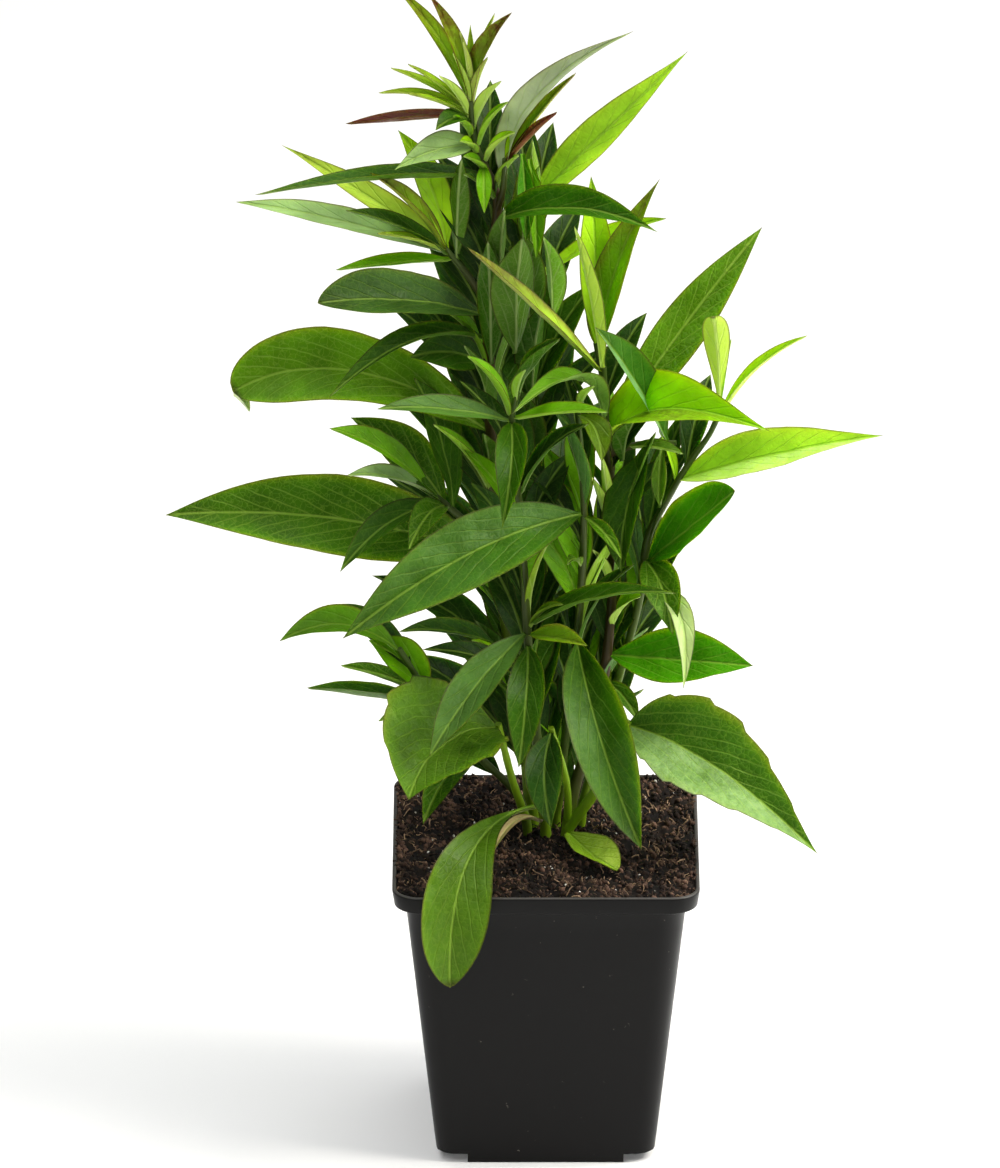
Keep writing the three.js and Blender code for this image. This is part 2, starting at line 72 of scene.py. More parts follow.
# Pot
POT_HEIGHT = 91.4
RIM_HALF = 45
COLLAR_HEIGHT = 5.4
COLLAR_STEP = 3.8
COLLAR_DRAFT = 0.6
WALL = 1.3
BASE_HALF = 32
RIM_CORNER = 8
BASE_CORNER = 6
CORNER_WIDTH = 9
CORNER_LIFT = 3
DRAIN_RADIUS = 2.5
DRAIN_REACH = 38
SHOULDER = POT_HEIGHT - COLLAR_HEIGHT

# The lip's rounded profile, from its outer face to its inner one: how far it lies inside the rim, how much
# smaller its corner is, and how far it lies below the top
LIP = ((0, 0, 0.65), (0.05, 0, 0.4), (0.2, 0, 0.16), (0.42, 0, 0.03), (0.65, 0.2, 0), (0.9, 0.5, 0.04),
       (1.1, 0.8, 0.18), (WALL, WALL, 0.5))

# Soil
SOIL_TOP = 89.8
SOIL_MOUND = 0.8
SOIL_LUMP = 0.7
SOIL_HEAP = 1.0
CROWN = (2, 7)
CROWN_RADIUS = 16
SOIL_GAP = 0.3
STEM_FOOT = 66
SOIL_EXIT = 93

# A side shoot that starts below this height is the stalk of a low leaf, so it stays lime
LOW_SHOOT = 120

# Leaves
STALK = 1.7
BASE_DEPTH = 0.5
BLADE = 0.45
RIB = 0.5
RIB_HALF = 0.9
BROAD_GRID = (44, 15)
SLIM_GRID = (22, 9)
SLIM_LEAF = 9.6
EDGE_WAVES = 9
WAVE_SHARE = 0.035
BROAD_LEAF = 13
TOOTH = 0.05
INNER_ARCH = 0.1
INNER_ROLL = 25
INNER_FOLD = 15

# Steep leaves that fill a stem: the height of the lowest, what is left free under the tip, and their step
FILLING = (104, 34, 6.5)

# Leaf veins: the step between side veins, the width of a mesh in the net
VEIN_STEP = 3.2
NET_MESH = 1.7

# The camera: its focal length, its distance in metres, its height over the aim in degrees, and where it aims
FOCAL, DISTANCE, ELEVATION, AIM = 421.6, 4, 23, (-13.45, 0, 172)

# Lamps: name, place and aim in metres, size, watts, colour, and whether it casts shadows. The wash stands for
# light off the floor, which has no edge.
LAMPS = (
    ("overhead", (0.0, 0.3, 2.6), (0, 0, 0.18), 3.0, 51, "#ffffff", True),
    ("key", (1.3, -0.3, 1.6), (0, 0, 0.18), 0.8, 22, "#fffaf0", True),
    ("floor wash", (0.42, -0.02, 0.3), (0.36, -0.02, 0), 0.3, 1.5, "#ffffff", False),
    ("front", (-0.9, -1.6, 1.9), (0, 0, 0.18), 0.9, 12, "#ffffff", True),
)

# How a blade widens from its joint and narrows to its tip
FORMS = {"lance": (1.05, 1.15), "taper": (0.8, 1.4), "oval": (1, 0.7), "broad": (0.8, 0.5),
         "blunt": (1.5, 0.5), "spoon": (2.2, 0.75)}

# The colour of the painted sheen that pales one half of some blades, unless a leaf gives its own lighter or
# darker colour
PAINTED_SHEEN = "#8dab6e"

# Leaf tones: upper face, under face, how far brown-red flushes in from the edges and the tip, and how clear
# the veins are. The shade tone is painted shade for leaves deep in the foliage; sunlit, glow and brightest
# paint back-light into the green.
TONES = {
    "shade": ("#213f06", "#3f6218", 0.0, 0.3),
    "dark": ("#2c5000", "#47701a", 0.03, 0.5),
    "deep": ("#355c06", "#557a22", 0.04, 0.4),
    "deepblue": ("#32561a", "#5c8442", 0.04, 0.35),
    "mid": ("#466e08", "#7ba23a", 0.02, 1.0),
    "olive": ("#5b860a", "#7ba23a", 0.02, 1.0),
    "arch": ("#396b02", "#5c8a1c", 0.03, 0.5),
    "rich": ("#4c9002", "#78a830", 0.0, 0.7),
    "centre": ("#345b00", "#7fa82a", 0.0, 0.3),
    "midvein": ("#587c1a", "#7fa23f", 0.0, 0.8),
    "midolive": ("#56740e", "#86a436", 0.1, 0.4),
    "fresh": ("#70a804", "#98c040", 0.04, 0.5),
    "sunlit": ("#9edc02", "#a8d030", 0.02, 0.5),
    "light": ("#54761a", "#9dba5e", 0.0, 0.5),
    "brightest": ("#b8e83c", "#c8ec60", 0.0, 0.6),
    "cup": ("#86aa22", "#c8e070", 0.0, 1.0),
    "lime": ("#a0d014", "#bada60", 0.04, 0.4),
    "glow": ("#a8d81c", "#c2e058", 0.04, 0.5),
    "limered": ("#86ac1c", "#b4d050", 0.45, 0.4),
    "tip": ("#98bc24", "#c0d860", 0.3, 0.3),
    "tipped": ("#b0cc48", "#d0e288", 0.3, 0.3),
    "pale": ("#9dbb78", "#c8dca4", 0.0, 0.4),
    "palest": ("#b7cc88", "#d4e4b0", 0.0, 0.3),
    "grey": ("#b4c09c", "#b8c69c", 0.08, 0.4),
    "twig": ("#487a24", "#86a56c", 0.06, 0.4),
    "blue": ("#527632", "#86a56c", 0.06, 0.4),
    "bluish": ("#3f5e26", "#86a56c", 0.04, 0.4),
    "sheen": ("#3c6610", "#90b078", 0.04, 0.5),
    "band": ("#5c8a14", "#9cc060", 0.05, 0.5),
    "glaucous": ("#456d12", "#a9c08a", 0.0, 1.0),
    "redtip": ("#8cb41c", "#b8ca50", 0.95, 0.3),
    "flushed": ("#90b81c", "#b8ca50", 0.7, 0.3),
    "pinkedge": ("#a9c83c", "#cfdc80", 0.7, 0.3),
    "redmargin": ("#7fae10", "#a9c044", 0.6, 0.9),
    "wine": ("#5c3420", "#8a5a3c", 1.0, 0.3),
    "stub": ("#cdb88a", "#e0d2b0", 0.0, 0.3),
}

# A stem is its foot in the soil, its route upwards, its radius at foot and tip, and its side shoots: the
# height where each starts, its route and its radii. Its blush is how brown-red it grows, 0.2 where not given.
# A leaf is (height of its joint, place of its tip, arch, width, roll, fold, tone, what else it has). Young
# leaves stand at the growing points and between the stems; some give their joint's place, not its height.
# The inner leaves close the middle and the back: (height, turn, rise, length, width).
# The filling leaves are drawn at random within a sector of turns, with a seed: ((from, to), seed).
PLANT = {
    "tall": {
        "foot": (-4, 10), "radii": (2.3, 1.1), "blush": 0.9, "filling": ((20, 200), 1),
        "route": [(-5, 10, 108), (-8, 10, 131), (-14, 9, 176), (-16, 8, 211), (-16.5, 7, 234), (-17, 6, 254),
                  (-16.5, 5, 270), (-14.5, 4, 284), (-14.5, 4, 293), (-18, 3, 302), (-21, 2, 310),
                  (-22, 1, 323)],
        "shoots": {
            "side": (257, [(-22, 5, 266), (-29.5, 2, 277)], (1.2, 0.8)),
            "second": (288, [(-12.5, 1, 296), (-12, -2, 306)], (1.1, 0.8)),
            "low": (180, [(-23, 8, 188), (-34, 6, 199)], (1.4, 0.9)),
        },
        "leaves": {"main": [
            (321, (-44, 4, 357), 3, 5.5, -45, 20, "flushed"),
            (321, (-34, -2, 357), 2, 6, -60, 20, "redtip"),
            (320, (-10, -4, 352), 3, 7, 60, 25, "redtip"),
            (322, (-15, 6, 348), 1, 3.5, 0, 20, "tip"),
            (322, (-25, 0, 345), 1, 3.5, 0, 20, "tip"),
            (322, (-22, 2, 346), 0, 3, 0, 20, "tip"),
            (320, (-45, -4, 335), 1, 4, -20, 15, "tip"),
            (319, (-40, -6, 337), 1, 3.5, -20, 15, "tip"),
            (320, (-48.5, -6, 328), 2, 4, -10, 20, "tip"),
            (318, (-40, -9, 329), 1, 3.5, -10, 15, "tip"),
            (319, (-58, -2, 317), 0, 6.5, 0, 20, "wine"),
            (317, (-32, -10, 318), 2, 7, -20, 15, "deep"),
            (309, (-44, -16, 308), 2, 10, -40, 20, "pale", {"form": "taper"}),
            (299, (-84, -20, 302), 2, 10, 0, 20, "deep", {"form": "taper"}),
            (303, (-18, -7, 291), 4, 5, 0, 10, "fresh"),
            (285, (32, -24, 292), 5.5, 14, 30, 20, "arch", {"form": "taper"}),
            (254, (-66, -24, 270), 3, 18, -35, 18, "bluish", {"form": "oval"}),
            (247, (-63, -25, 241), 8, 9, -10, 25, "deep", {"lean": 0.4}),
            (238, (-39.5, -4, 245), 3, 13, -50, 10, "deep"),
            (217, (-91, -8, 236), 12, 24, -50, 14, "olive", {"lean": 0.65, "form": "broad"}),
            (200, (-18, -6, 222), 2, 9, -30, 15, "deep"),
            (197, (-33, -8, 226), 2, 6, -30, 30, "fresh"),
            (176, (-111, -10, 198), 6, 26, -55, 14, "mid"),
            (146, (-43, -12, 162), 3, 9, -20, 20, "deep"),
            (138, (-22, -4, 156), 2, 5, -30, 15, "lime"),
        ], "side": [
            (276, (-77, 20, 302), 1, 9, -30, 15, "tipped", {"form": "taper"}),
            (275, (-90, 0, 292), 2, 10, -25, 12, "pale"),
            (274, (-58, -12, 294), 2, 8, -20, 20, "deep"),
            (276, (-51, -10, 305), 2, 6.5, -40, 35, "flushed"),
            (276, (-43, 6, 312), 3, 10, -50, 15, "glow"),
            (272, (-24.5, -6, 308), 2, 7, -25, 20, "deep"),
            (273, (-61, -8, 274), 0.5, 6.5, -15, 20, "fresh"),
            (276, (-49, -12, 287), 1, 4, -10, 20, "tip"),
        ], "second": [
            (305, (3, -8, 323), 0.5, 4.5, 20, 25, "wine"),
            (305, (8.5, 0, 332), 1, 4.5, 20, 25, "flushed"),
            (304, (-3, 4, 320), 1, 5, 30, 20, "lime"),
            (298, (25, -6, 347), 9, 11, 40, 20, "grey", {"lean": 0.35, "form": "taper"}),
        ], "low": [
            (197, (-63, -14, 227), 3, 12, -35, 15, "fresh"),
            (196, (-58, -16, 213), 3, 8, -25, 20, "pale"),
            (192, (-38.5, -2, 238), 3, 16, -70, 10, "deep"),
            (194, (-57, 4, 223), 3, 15, -50, 12, "mid"),
            (195, (-60, -22, 185), 5, 10, -20, 20, "deep"),
            (194, (-40, -20, 191), 4, 10, -20, 20, "mid"),
        ]},
        "young": [
            (317, (-31, -5, 333), 1, 4, 20, 25, "lime"),
            (313, (-13, -4, 331), 1.5, 4.5, -30, 25, "lime"),
            (311, (-27, -6, 321), 1, 4, -20, 25, "fresh"),
            (308, (-11, -5, 325), 1.5, 4, 30, 25, "fresh"),
            (306, (-25, -8, 314), 1, 4.5, -30, 25, "lime"),
            (303, (-9, -6, 316), 1.5, 4.5, 30, 25, "lime"),
            (299, (-24, -7, 309), 1, 5, -30, 25, "fresh"),
            (295, (-8, -6, 309), 1, 4.5, 30, 25, "fresh"),
            (291, (-24, -6, 303), 1, 5, -30, 25, "deep"),
            (320, (-17, -3, 338), 1, 3.5, 0, 25, "tip"),
            ((-91, -8, 236), (-86, -11, 231), 0.5, 3.5, 0, 30, "palest"),
            (320, (-27, -2, 339), 1, 3.5, -20, 25, "lime"),
            (321, (-24, -3, 343), 1, 3, -20, 25, "tip"),
            ((-9, -2, 245), (-7, -10, 285), 3, 15, 10, 15, "deep"),
            ((-10, -6, 228), (4, -14, 255), 3, 15, 10, 15, "dark"),
            ((-5, 15, 300), (-3, 10, 270), 2, 6, 0, 20, "fresh"),
            ((-7, 14, 302), (-6, 9, 276), 2, 6, 0, 20, "rich"),
            ((2, 0, 255), (-1, -4, 283), 2, 8, 0, 20, "rich"),
            ((-16, 2, 240), (-17, -5, 282), 2, 9.8, 0, 20, "dark"),
            ((-14, 2, 262), (-12, -5, 292), 2, 8, 20, 20, "deep"),
            ((-15, 2, 222), (-24, -6, 250), 2, 9, -20, 20, "deep"),
        ],
        "inner": [(110, 135, 20, 56, 14), (124, 122, 20, 60, 15), (138, 160, 30, 52, 13),
                  (152, 120, 30, 62, 15), (166, 150, 35, 50, 12), (180, 118, 35, 56, 13),
                  (194, 145, 35, 56, 13), (208, 116, 40, 50, 12), (222, 152, 40, 46, 12),
                  (236, 120, 40, 50, 12), (250, 145, 45, 42, 11), (262, 115, 45, 44, 11),
                  (274, 140, 50, 34, 9), (286, 110, 45, 34, 9), (298, 90, 50, 30, 8)],
    },
    "front": {
        "foot": (0, 1), "radii": (1.9, 0.9), "filling": ((30, 150), 2),
        "route": [(-1, -1, 103), (-3, -6, 130), (-5.5, -12, 163), (-7.5, -12, 198), (-10, -16, 231),
                  (-8.5, -16, 239)],
        "leaves": {"main": [
            (231, (-23, -22, 253), 2, 7.5, -20, 20, "fresh"),
            (230, (-13, -38, 205), 7, 10.5, 0, 22, "centre", {"form": "taper", "sway": 2}),
            (231, (18, -26, 237), 1, 7, 10, 20, "fresh"),
            (230, (-49, -36, 242), 2, 9, -30, 15, "blue"),
            (236, (-6, -20, 248), 1, 4, 0, 20, "fresh"),
            (164, (1, -16, 193), 2, 4.5, 20, 20, "midolive"),
            (163, (5, -22, 175), 2, 4.5, 20, 15, "midolive"),
            (164, (38, -28, 181), 4, 12, 5, 15, "deep", {"form": "taper"}),
            (161, (12, -34, 167), 0.5, 8, 30, 25, "limered"),
            (162, (-34, -46, 137), 3, 14, -15, 12, "blue"),
            (158, (-8, -36, 129), 8, 12, 0, 15, "deep", {"sway": 1.5}),
            (102, (-28, -54, 67), 22, 21.5, -10, 12, "light", {"sway": -7.5, "face": 270, "form": "spoon"}),
            (96, (-16, -18, 93), 6, 4, 0, 10, "stub"),
        ]},
        "inner": [(142, 190, 25, 36, 9), (170, 150, 55, 34, 9), (205, 340, 50, 34, 9), (215, 160, 55, 30, 8)],
    },
    "middle": {
        "foot": (3, 7.5), "radii": (1.8, 0.8), "filling": ((0, 180), 3),
        "route": [(4, 6, 103), (7, 0, 135), (10, -4, 168), (11, -6, 197), (10, -6, 218), (9, -5, 230)],
        "leaves": {"main": [
            (197, (-59, -50, 176), 9, 22, -50, 12, "sheen", {"sway": 5, "bloom": -0.2}),
            (196, (22, -22, 189), 2, 5, 20, 20, "mid"),
            (198, (1, -12, 234), 3, 13, -20, 15, "deepblue"),
            (228, (16, -16, 217), 5, 9, 0, 15, "midolive"),
            (229, (14, -13, 240), 1, 4, 0, 20, "fresh"),
            (156, (28, -34, 102), 14, 20, 25, 25, "deep", {"sway": -10, "bloom": -0.15}),
            (180, (6, -14, 184), 2, 4, 0, 20, "mid"),
        ]},
        "inner": [(150, 345, 60, 36, 9), (176, 100, 60, 34, 9), (208, 110, 60, 30, 8), (186, 170, 50, 36, 9)],
    },
    "right": {
        "foot": (6.5, 2), "radii": (2.2, 1), "blush": 0.8, "filling": ((10, 170), 4),
        "route": [(8, 3, 103), (16, 8, 132), (19.5, 8, 167), (19, 8, 195), (17.5, 7, 218), (16.5, 6, 238)],
        "shoots": {
            "rear": (200, [(19, 11, 215), (14.5, 15, 242)], (1.3, 0.8)),
            "twig": (210, [(27, 10, 212), (38, 9, 213)], (1.2, 0.8)),
            "stalk": (93, [(15, -1, 107), (24, -4, 130)], (1.9, 1.2)),
            "second": (95, [(6, -4, 111), (1.5, -9, 130)], (1.2, 0.9)),
        },
        "leaves": {"main": [
            (236, (-23, -20, 286), 0.5, 8, -30, 20, "pinkedge"),
            (236, (8, 2, 284), 1, 6.5, 20, 20, "glow"),
            (219, (-10, -30, 238), 13, 10, 0, 20, "band", {"lean": 0.3, "bloom": 0.5, "wash": "#a8c474"}),
            (215, (65, -24, 230), 9, 22.5, 35, 25, "sunlit",
             {"lean": 0.35, "sway": -2, "form": "taper", "bloom": -0.9, "wash": "#6c7a22"}),
            (215, (63, 26, 274), 1.5, 15, 60, 12, "olive"),
            (163, (32, -4, 222), 3, 13, 50, 12, "deep"),
            (182, (16, -6, 216), 1, 4, 0, 20, "lime"),
            (182, (13, -4, 208), 1, 4.5, 0, 20, "lime"),
            (166, (13.5, -2, 184), 1, 4.5, 0, 20, "lime"),
            (146, (60.5, -14, 152), 0, 19, 40, 12, "rich"),
            (155, (28, -4, 170), 2, 9, 40, 15, "lime"),
            (138, (27, 0, 128), 2, 6, 20, 20, "mid"),
            (92, (21, -29, 93), 0.5, 13.5, 0, 20, "cup",
             {"form": "oval", "sway": -1.5, "bloom": 0.9, "wash": "#c4dc68"}),
        ], "rear": [
            (240, (13, 26, 290), 3, 11, 0, 15, "glow"),
            (240, (33, 16, 293), 3, 12, 50, 20, "redmargin",
             {"form": "taper", "bloom": -0.9, "wash": "#9cd014"}),
        ], "twig": [
            (212.8, (14, -20, 261), 2, 13, -80, 25, "twig", {"bloom": 0.9, "wash": "#8cb87c"}),
        ], "stalk": [
            (129, (80, -22, 95), 5, 29, 45, 22, "glaucous",
             {"lean": 0.35, "teeth": 6, "form": "taper", "bloom": -1}),
        ], "second": [
            (129, (1.5, -27, 106), 6, 12, 5, 15, "deepblue", {"sway": -2}),
        ]},
        "young": [
            ((30, 6, 213), (22, -6, 178), 5, 15, 10, 15, "deep"),
            ((34, 6, 213), (33, 2, 196), 2, 5, 0, 20, "light"),
            ((22, 6, 208), (26, -4, 226), 2, 9, 30, 20, "dark"),
            ((24, 4, 214), (40, -2, 214), 1, 7, 0, 15, "light"),
        ],
        "inner": [(112, 0, 12, 46, 13), (134, 85, 30, 44, 12), (150, 75, 35, 42, 11), (172, 88, 35, 40, 11),
                  (186, 80, 40, 38, 10), (204, 20, 50, 34, 10), (226, 50, 50, 30, 9)],
    },
    "outer": {
        "foot": (10.5, 9), "radii": (1.6, 0.8), "filling": ((20, 160), 6),
        "route": [(12, 9, 103), (20, 11, 132), (27.5, 12, 162), (30, 12, 182), (34, 12, 191), (39, 12, 200.5),
                  (43.5, 12, 208), (47.5, 12, 214), (51, 12, 222)],
        "leaves": {"main": [
            (221, (48.5, 6, 254), 2, 8.5, 20, 15, "glow", {"form": "blunt"}),
            (221, (54, 16, 243), 1, 3.5, 0, 20, "lime"),
            (220, (76, 6, 248), 3, 5, 20, 20, "glow"),
            (200, (98, -12, 224), 1.5, 16, 40, 18, "brightest",
             {"form": "taper", "bloom": -0.7, "wash": "#c8e094"}),
            (190, (34, 4, 211), 2, 4, 0, 20, "mid"),
            (199, (33, 17, 214), 1, 4, 0, 20, "lime"),
            (173, (55, -6, 204), 0, 19.5, 50, 15, "rich", {"form": "oval"}),
            (165, (40, -20, 147), 12, 7.5, 0, 15, "palest", {"sway": 3}),
            (175, (37, -12, 161), 5, 12, 20, 15, "mid"),
        ]},
        "inner": [(120, 75, 25, 36, 12), (142, 60, 20, 36, 11), (158, 60, 30, 38, 11), (182, 80, 40, 34, 10),
                  (204, 70, 45, 30, 9)],
    },
    "back": {
        "foot": (2.5, 13.5), "radii": (2, 1), "filling": ((-20, 200), 5),
        "route": [(1, 15, 103), (-2, 20, 150), (-4, 22, 200), (-4.5, 22, 253), (-4.5, 22, 290)],
        "leaves": {"main": [
            (283, (41, 20, 331), 0, 12.5, 50, 15, "brightest", {"form": "taper"}),
            (253, (-4, 20, 304), 2, 11, 0, 20, "fresh"),
            (258, (35, 20, 279), 0, 8, 20, 15, "glow", {"sway": 8}),
        ]},
        "young": [
            ((-4.5, 20, 170), (-2, 10, 204), 2, 11, 10, 20, "dark"),
            ((-4.5, 20, 196), (-8, 10, 230), 2, 11, -10, 20, "shade"),
            ((-4.5, 20, 220), (-1, 12, 256), 2, 11, 10, 20, "dark"),
            ((-4.5, 20, 244), (-7, 12, 278), 2, 10, -10, 20, "deep"),
            ((-4.5, 20, 266), (-2, 14, 298), 2, 9, 10, 20, "rich"),
        ],
        "inner": [(108, 75, 15, 62, 16), (120, 105, 15, 62, 16), (133, 65, 25, 56, 14), (146, 90, 25, 66, 16),
                  (159, 108, 30, 50, 13), (172, 62, 35, 58, 15), (186, 95, 35, 60, 15), (200, 70, 40, 48, 12),
                  (213, 105, 40, 56, 14), (226, 85, 40, 50, 13), (240, 62, 45, 46, 12),
                  (254, 100, 45, 46, 12), (268, 75, 50, 40, 11), (280, 105, 50, 34, 10)],
    },
    "left": {
        "foot": (-5.5, 4), "radii": (1.6, 0.9),
        "route": [(-8, 4.5, 102), (-19.5, 2, 116), (-34, -4, 138), (-43, -6, 154)],
        "shoots": {
            "stalk": (95, [(-10, -2, 111), (-14, -6, 130)], (1.3, 1)),
        },
        "leaves": {"main": [
            (153, (-78, -10, 158), 7, 13, -20, 15, "band"),
            (138, (-60, -16, 153), 1, 8.5, -10, 20, "mid"),
            (139, (-52, -2, 155), 2, 14, -40, 20, "fresh"),
            (135, (-70, -14, 145), 0.5, 12, 5, 15, "deep"),
            (134, (-49, -20, 137), 1, 6, -10, 20, "mid"),
            (117, (-36, -27, 107), 5, 11, -10, 15, "mid"),
        ], "stalk": [
            (129, (-40, -42, 121.5), 5, 40, -20, 22, "midvein", {"sway": -4, "teeth": 5}),
        ]},
        "inner": [(108, 140, 5, 30, 10), (146, 140, 20, 36, 10)],
    },
}


def linear(colour):
    """sRGB hex to linear RGBA."""
    channels = [int(colour[i:i + 2], 16) / 255 for i in (1, 3, 5)]
    return [c / 12.92 if c <= 0.04045 else ((c + 0.055) / 1.055) ** 2.4 for c in channels] + [1.0]


def fill(made, inputs):
    """Links or fills a node's inputs, by name or in the order in which they show."""
    named = isinstance(inputs, dict)
    sockets = made.inputs if named else [socket for socket in made.inputs if socket.enabled]
    for key, value in inputs.items() if named else enumerate(inputs):
        if isinstance(value, bpy.types.Node):
            value = next(socket for socket in value.outputs if socket.enabled)
        if isinstance(value, bpy.types.NodeSocket):
            made.id_data.links.new(value, sockets[key])
        elif value is not None:
            is_colour = isinstance(value, str) and value.startswith("#")
            sockets[key].default_value = linear(value) if is_colour else value


def add_node(tree, kind, inputs=(), **settings):
    """Adds a node with its settings and fills its inputs. A kind in capitals is an operation on numbers."""
    if kind.isupper():
        kind, settings["operation"] = "ShaderNodeMath", kind
    made = tree.nodes.new(kind)
    for name, value in settings.items():
        setattr(made, name, value)
    fill(made, inputs)
    return made


def shown(name, data):
    """An object in the scene for a mesh, a lamp or a camera."""
    made = bpy.data.objects.new(name, data)
    bpy.context.scene.collection.objects.link(made)
    return made


# Camera, light and floor

def facing(start, end):
    """The turn that points a camera or a lamp from one place to another."""
    return (Vector(end) - Vector(start)).to_track_quat("-Z", "Y").to_euler()


def studio():
    """The camera stands at the photograph's angle, under broad soft light over a pale floor."""
    scene = bpy.context.scene
    elevation = math.radians(ELEVATION)
    aim = Vector(AIM) * MM
    camera_data = bpy.data.cameras.new("camera")
    camera_data.lens = FOCAL
    camera_data.clip_end = 20
    scene.camera = shown("camera", camera_data)
    scene.camera.location = aim + DISTANCE * Vector((0, -math.cos(elevation), math.sin(elevation)))
    scene.camera.rotation_euler = facing(scene.camera.location, aim)

    for name, place, target, size, power, colour, shadow in LAMPS:
        lamp_data = bpy.data.lights.new(name, "AREA")
        lamp_data.size = size
        lamp_data.energy = power
        lamp_data.use_shadow = shadow
        lamp_data.color = linear(colour)[:3]
        lamp = shown(name, lamp_data)
        lamp.location = place
        lamp.rotation_euler = facing(place, target)

    world = bpy.data.worlds.new("pale room")
    world.use_nodes = True
    fill(world.node_tree.nodes["Background"], {"Color": "#f6f8fa", "Strength": 0.12})
    scene.world = world

    paint, _, shader = new_material("matt pale floor")
    fill(shader, {"Base Color": "#fdfdfc", "Roughness": 0.9})
    reach = 6.0
    floor_mesh = bpy.data.meshes.new("floor")
    corners = [(-reach, -reach, 0), (reach, -reach, 0), (reach, reach, 0), (-reach, reach, 0)]
    floor_mesh.from_pydata(corners, [], [(0, 1, 2, 3)])
    floor_mesh.materials.append(paint)
    shown("floor", floor_mesh)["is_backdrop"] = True
    scene.view_settings.view_transform = "Standard"
    scene.view_settings.look = "Medium High Contrast"


# Curves

def curve_through(points):
    """A centripetal Catmull-Rom curve: a function from 0 to 1 to a place."""
    p = [np.array(point, float) for point in points]
    p = [2 * p[0] - p[1]] + p + [2 * p[-1] - p[-2]]
    spans = len(p) - 3

    def at(t):
        i = min(int(t * spans), spans - 1)
        w = t * spans - i
        a, b, c, d = p[i:i + 4]
        gaps = [max(np.linalg.norm(v - u), 1e-4) ** 0.5 for u, v in ((a, b), (b, c), (c, d))]
        start = ((b - a) / gaps[0] - (c - a) / (gaps[0] + gaps[1]) + (c - b) / gaps[1]) * gaps[1]
        end = ((c - b) / gaps[1] - (d - b) / (gaps[1] + gaps[2]) + (d - c) / gaps[2]) * gaps[1]
        return (b + start * w + (3 * (c - b) - 2 * start - end) * w ** 2
                + (2 * (b - c) + start + end) * w ** 3)

    return at


def at_height(curve, z):
    """The place on a curve at this height."""
    low, high = 0.0, 1.0
    for _ in range(30):
        middle = (low + high) / 2
        low, high = (middle, high) if curve(middle)[2] < z else (low, middle)
    return curve(low)


def stem_curves(stem):
    """The stem's main curve and those of its side shoots, each with its radii."""
    x, y = stem["foot"]
    straight = [(x, y, STEM_FOOT), (x, y, (STEM_FOOT + SOIL_EXIT) / 2), (x, y, SOIL_EXIT)]
    main = curve_through(straight + stem["route"])
    curves = {"main": (main, stem["radii"])}
    for name, (start, route, radii) in stem.get("shoots", {}).items():
        curves[name] = (curve_through([tuple(at_height(main, start))] + route), radii)
    return curves


# Meshes and attributes

def mesh_of(name, points, edges=(), faces=()):
    """A mesh from points in millimetres."""
    made = bpy.data.meshes.new(name)
    made.from_pydata([tuple(np.array(p) * MM) for p in points], edges, faces)
    return made


def give(mesh, name, kind, values):
    """Adds a named value at each point of the mesh."""
    field = {"FLOAT": "value", "FLOAT_VECTOR": "vector", "FLOAT_COLOR": "color"}[kind]
    mesh.attributes.new(name, kind, "POINT").data.foreach_set(field, np.array(values, np.float32).ravel())


def grown(name, mesh, tree, inputs):
    """Runs a tree on a mesh and keeps the result as a plain mesh object."""
    seed = shown(name, mesh)
    modifier = seed.modifiers.new("growth", "NODES")
    modifier.node_group = tree
    sockets = {item.name: item.identifier for item in tree.interface.items_tree if item.in_out == "INPUT"}
    for key, value in inputs.items():
        modifier[sockets[key]] = value
    evaluated = seed.evaluated_get(bpy.context.evaluated_depsgraph_get())
    result = bpy.data.meshes.new_from_object(evaluated)
    seed.modifiers.clear()
    seed.data = result
    result.name = name
    return seed


def new_tree(name, inputs):
    """A geometry tree, what adds nodes to it, and its geometry and named inputs."""
    tree = bpy.data.node_groups.new(name, "GeometryNodeTree")
    for socket, kind in {"Geometry": "Geometry", **inputs}.items():
        tree.interface.new_socket(socket, in_out="INPUT", socket_type=f"NodeSocket{kind}")
    tree.interface.new_socket("Geometry", in_out="OUTPUT", socket_type="NodeSocketGeometry")
    return tree, functools.partial(add_node, tree), tree.nodes.new("NodeGroupInput").outputs


def end_tree(node, shape, given):
    """Gives the shape its material and ends its tree."""
    finished = node("GeometryNodeSetMaterial", {"Geometry": shape, "Material": given["Material"]})
    node("NodeGroupOutput", [finished])


# Leaves

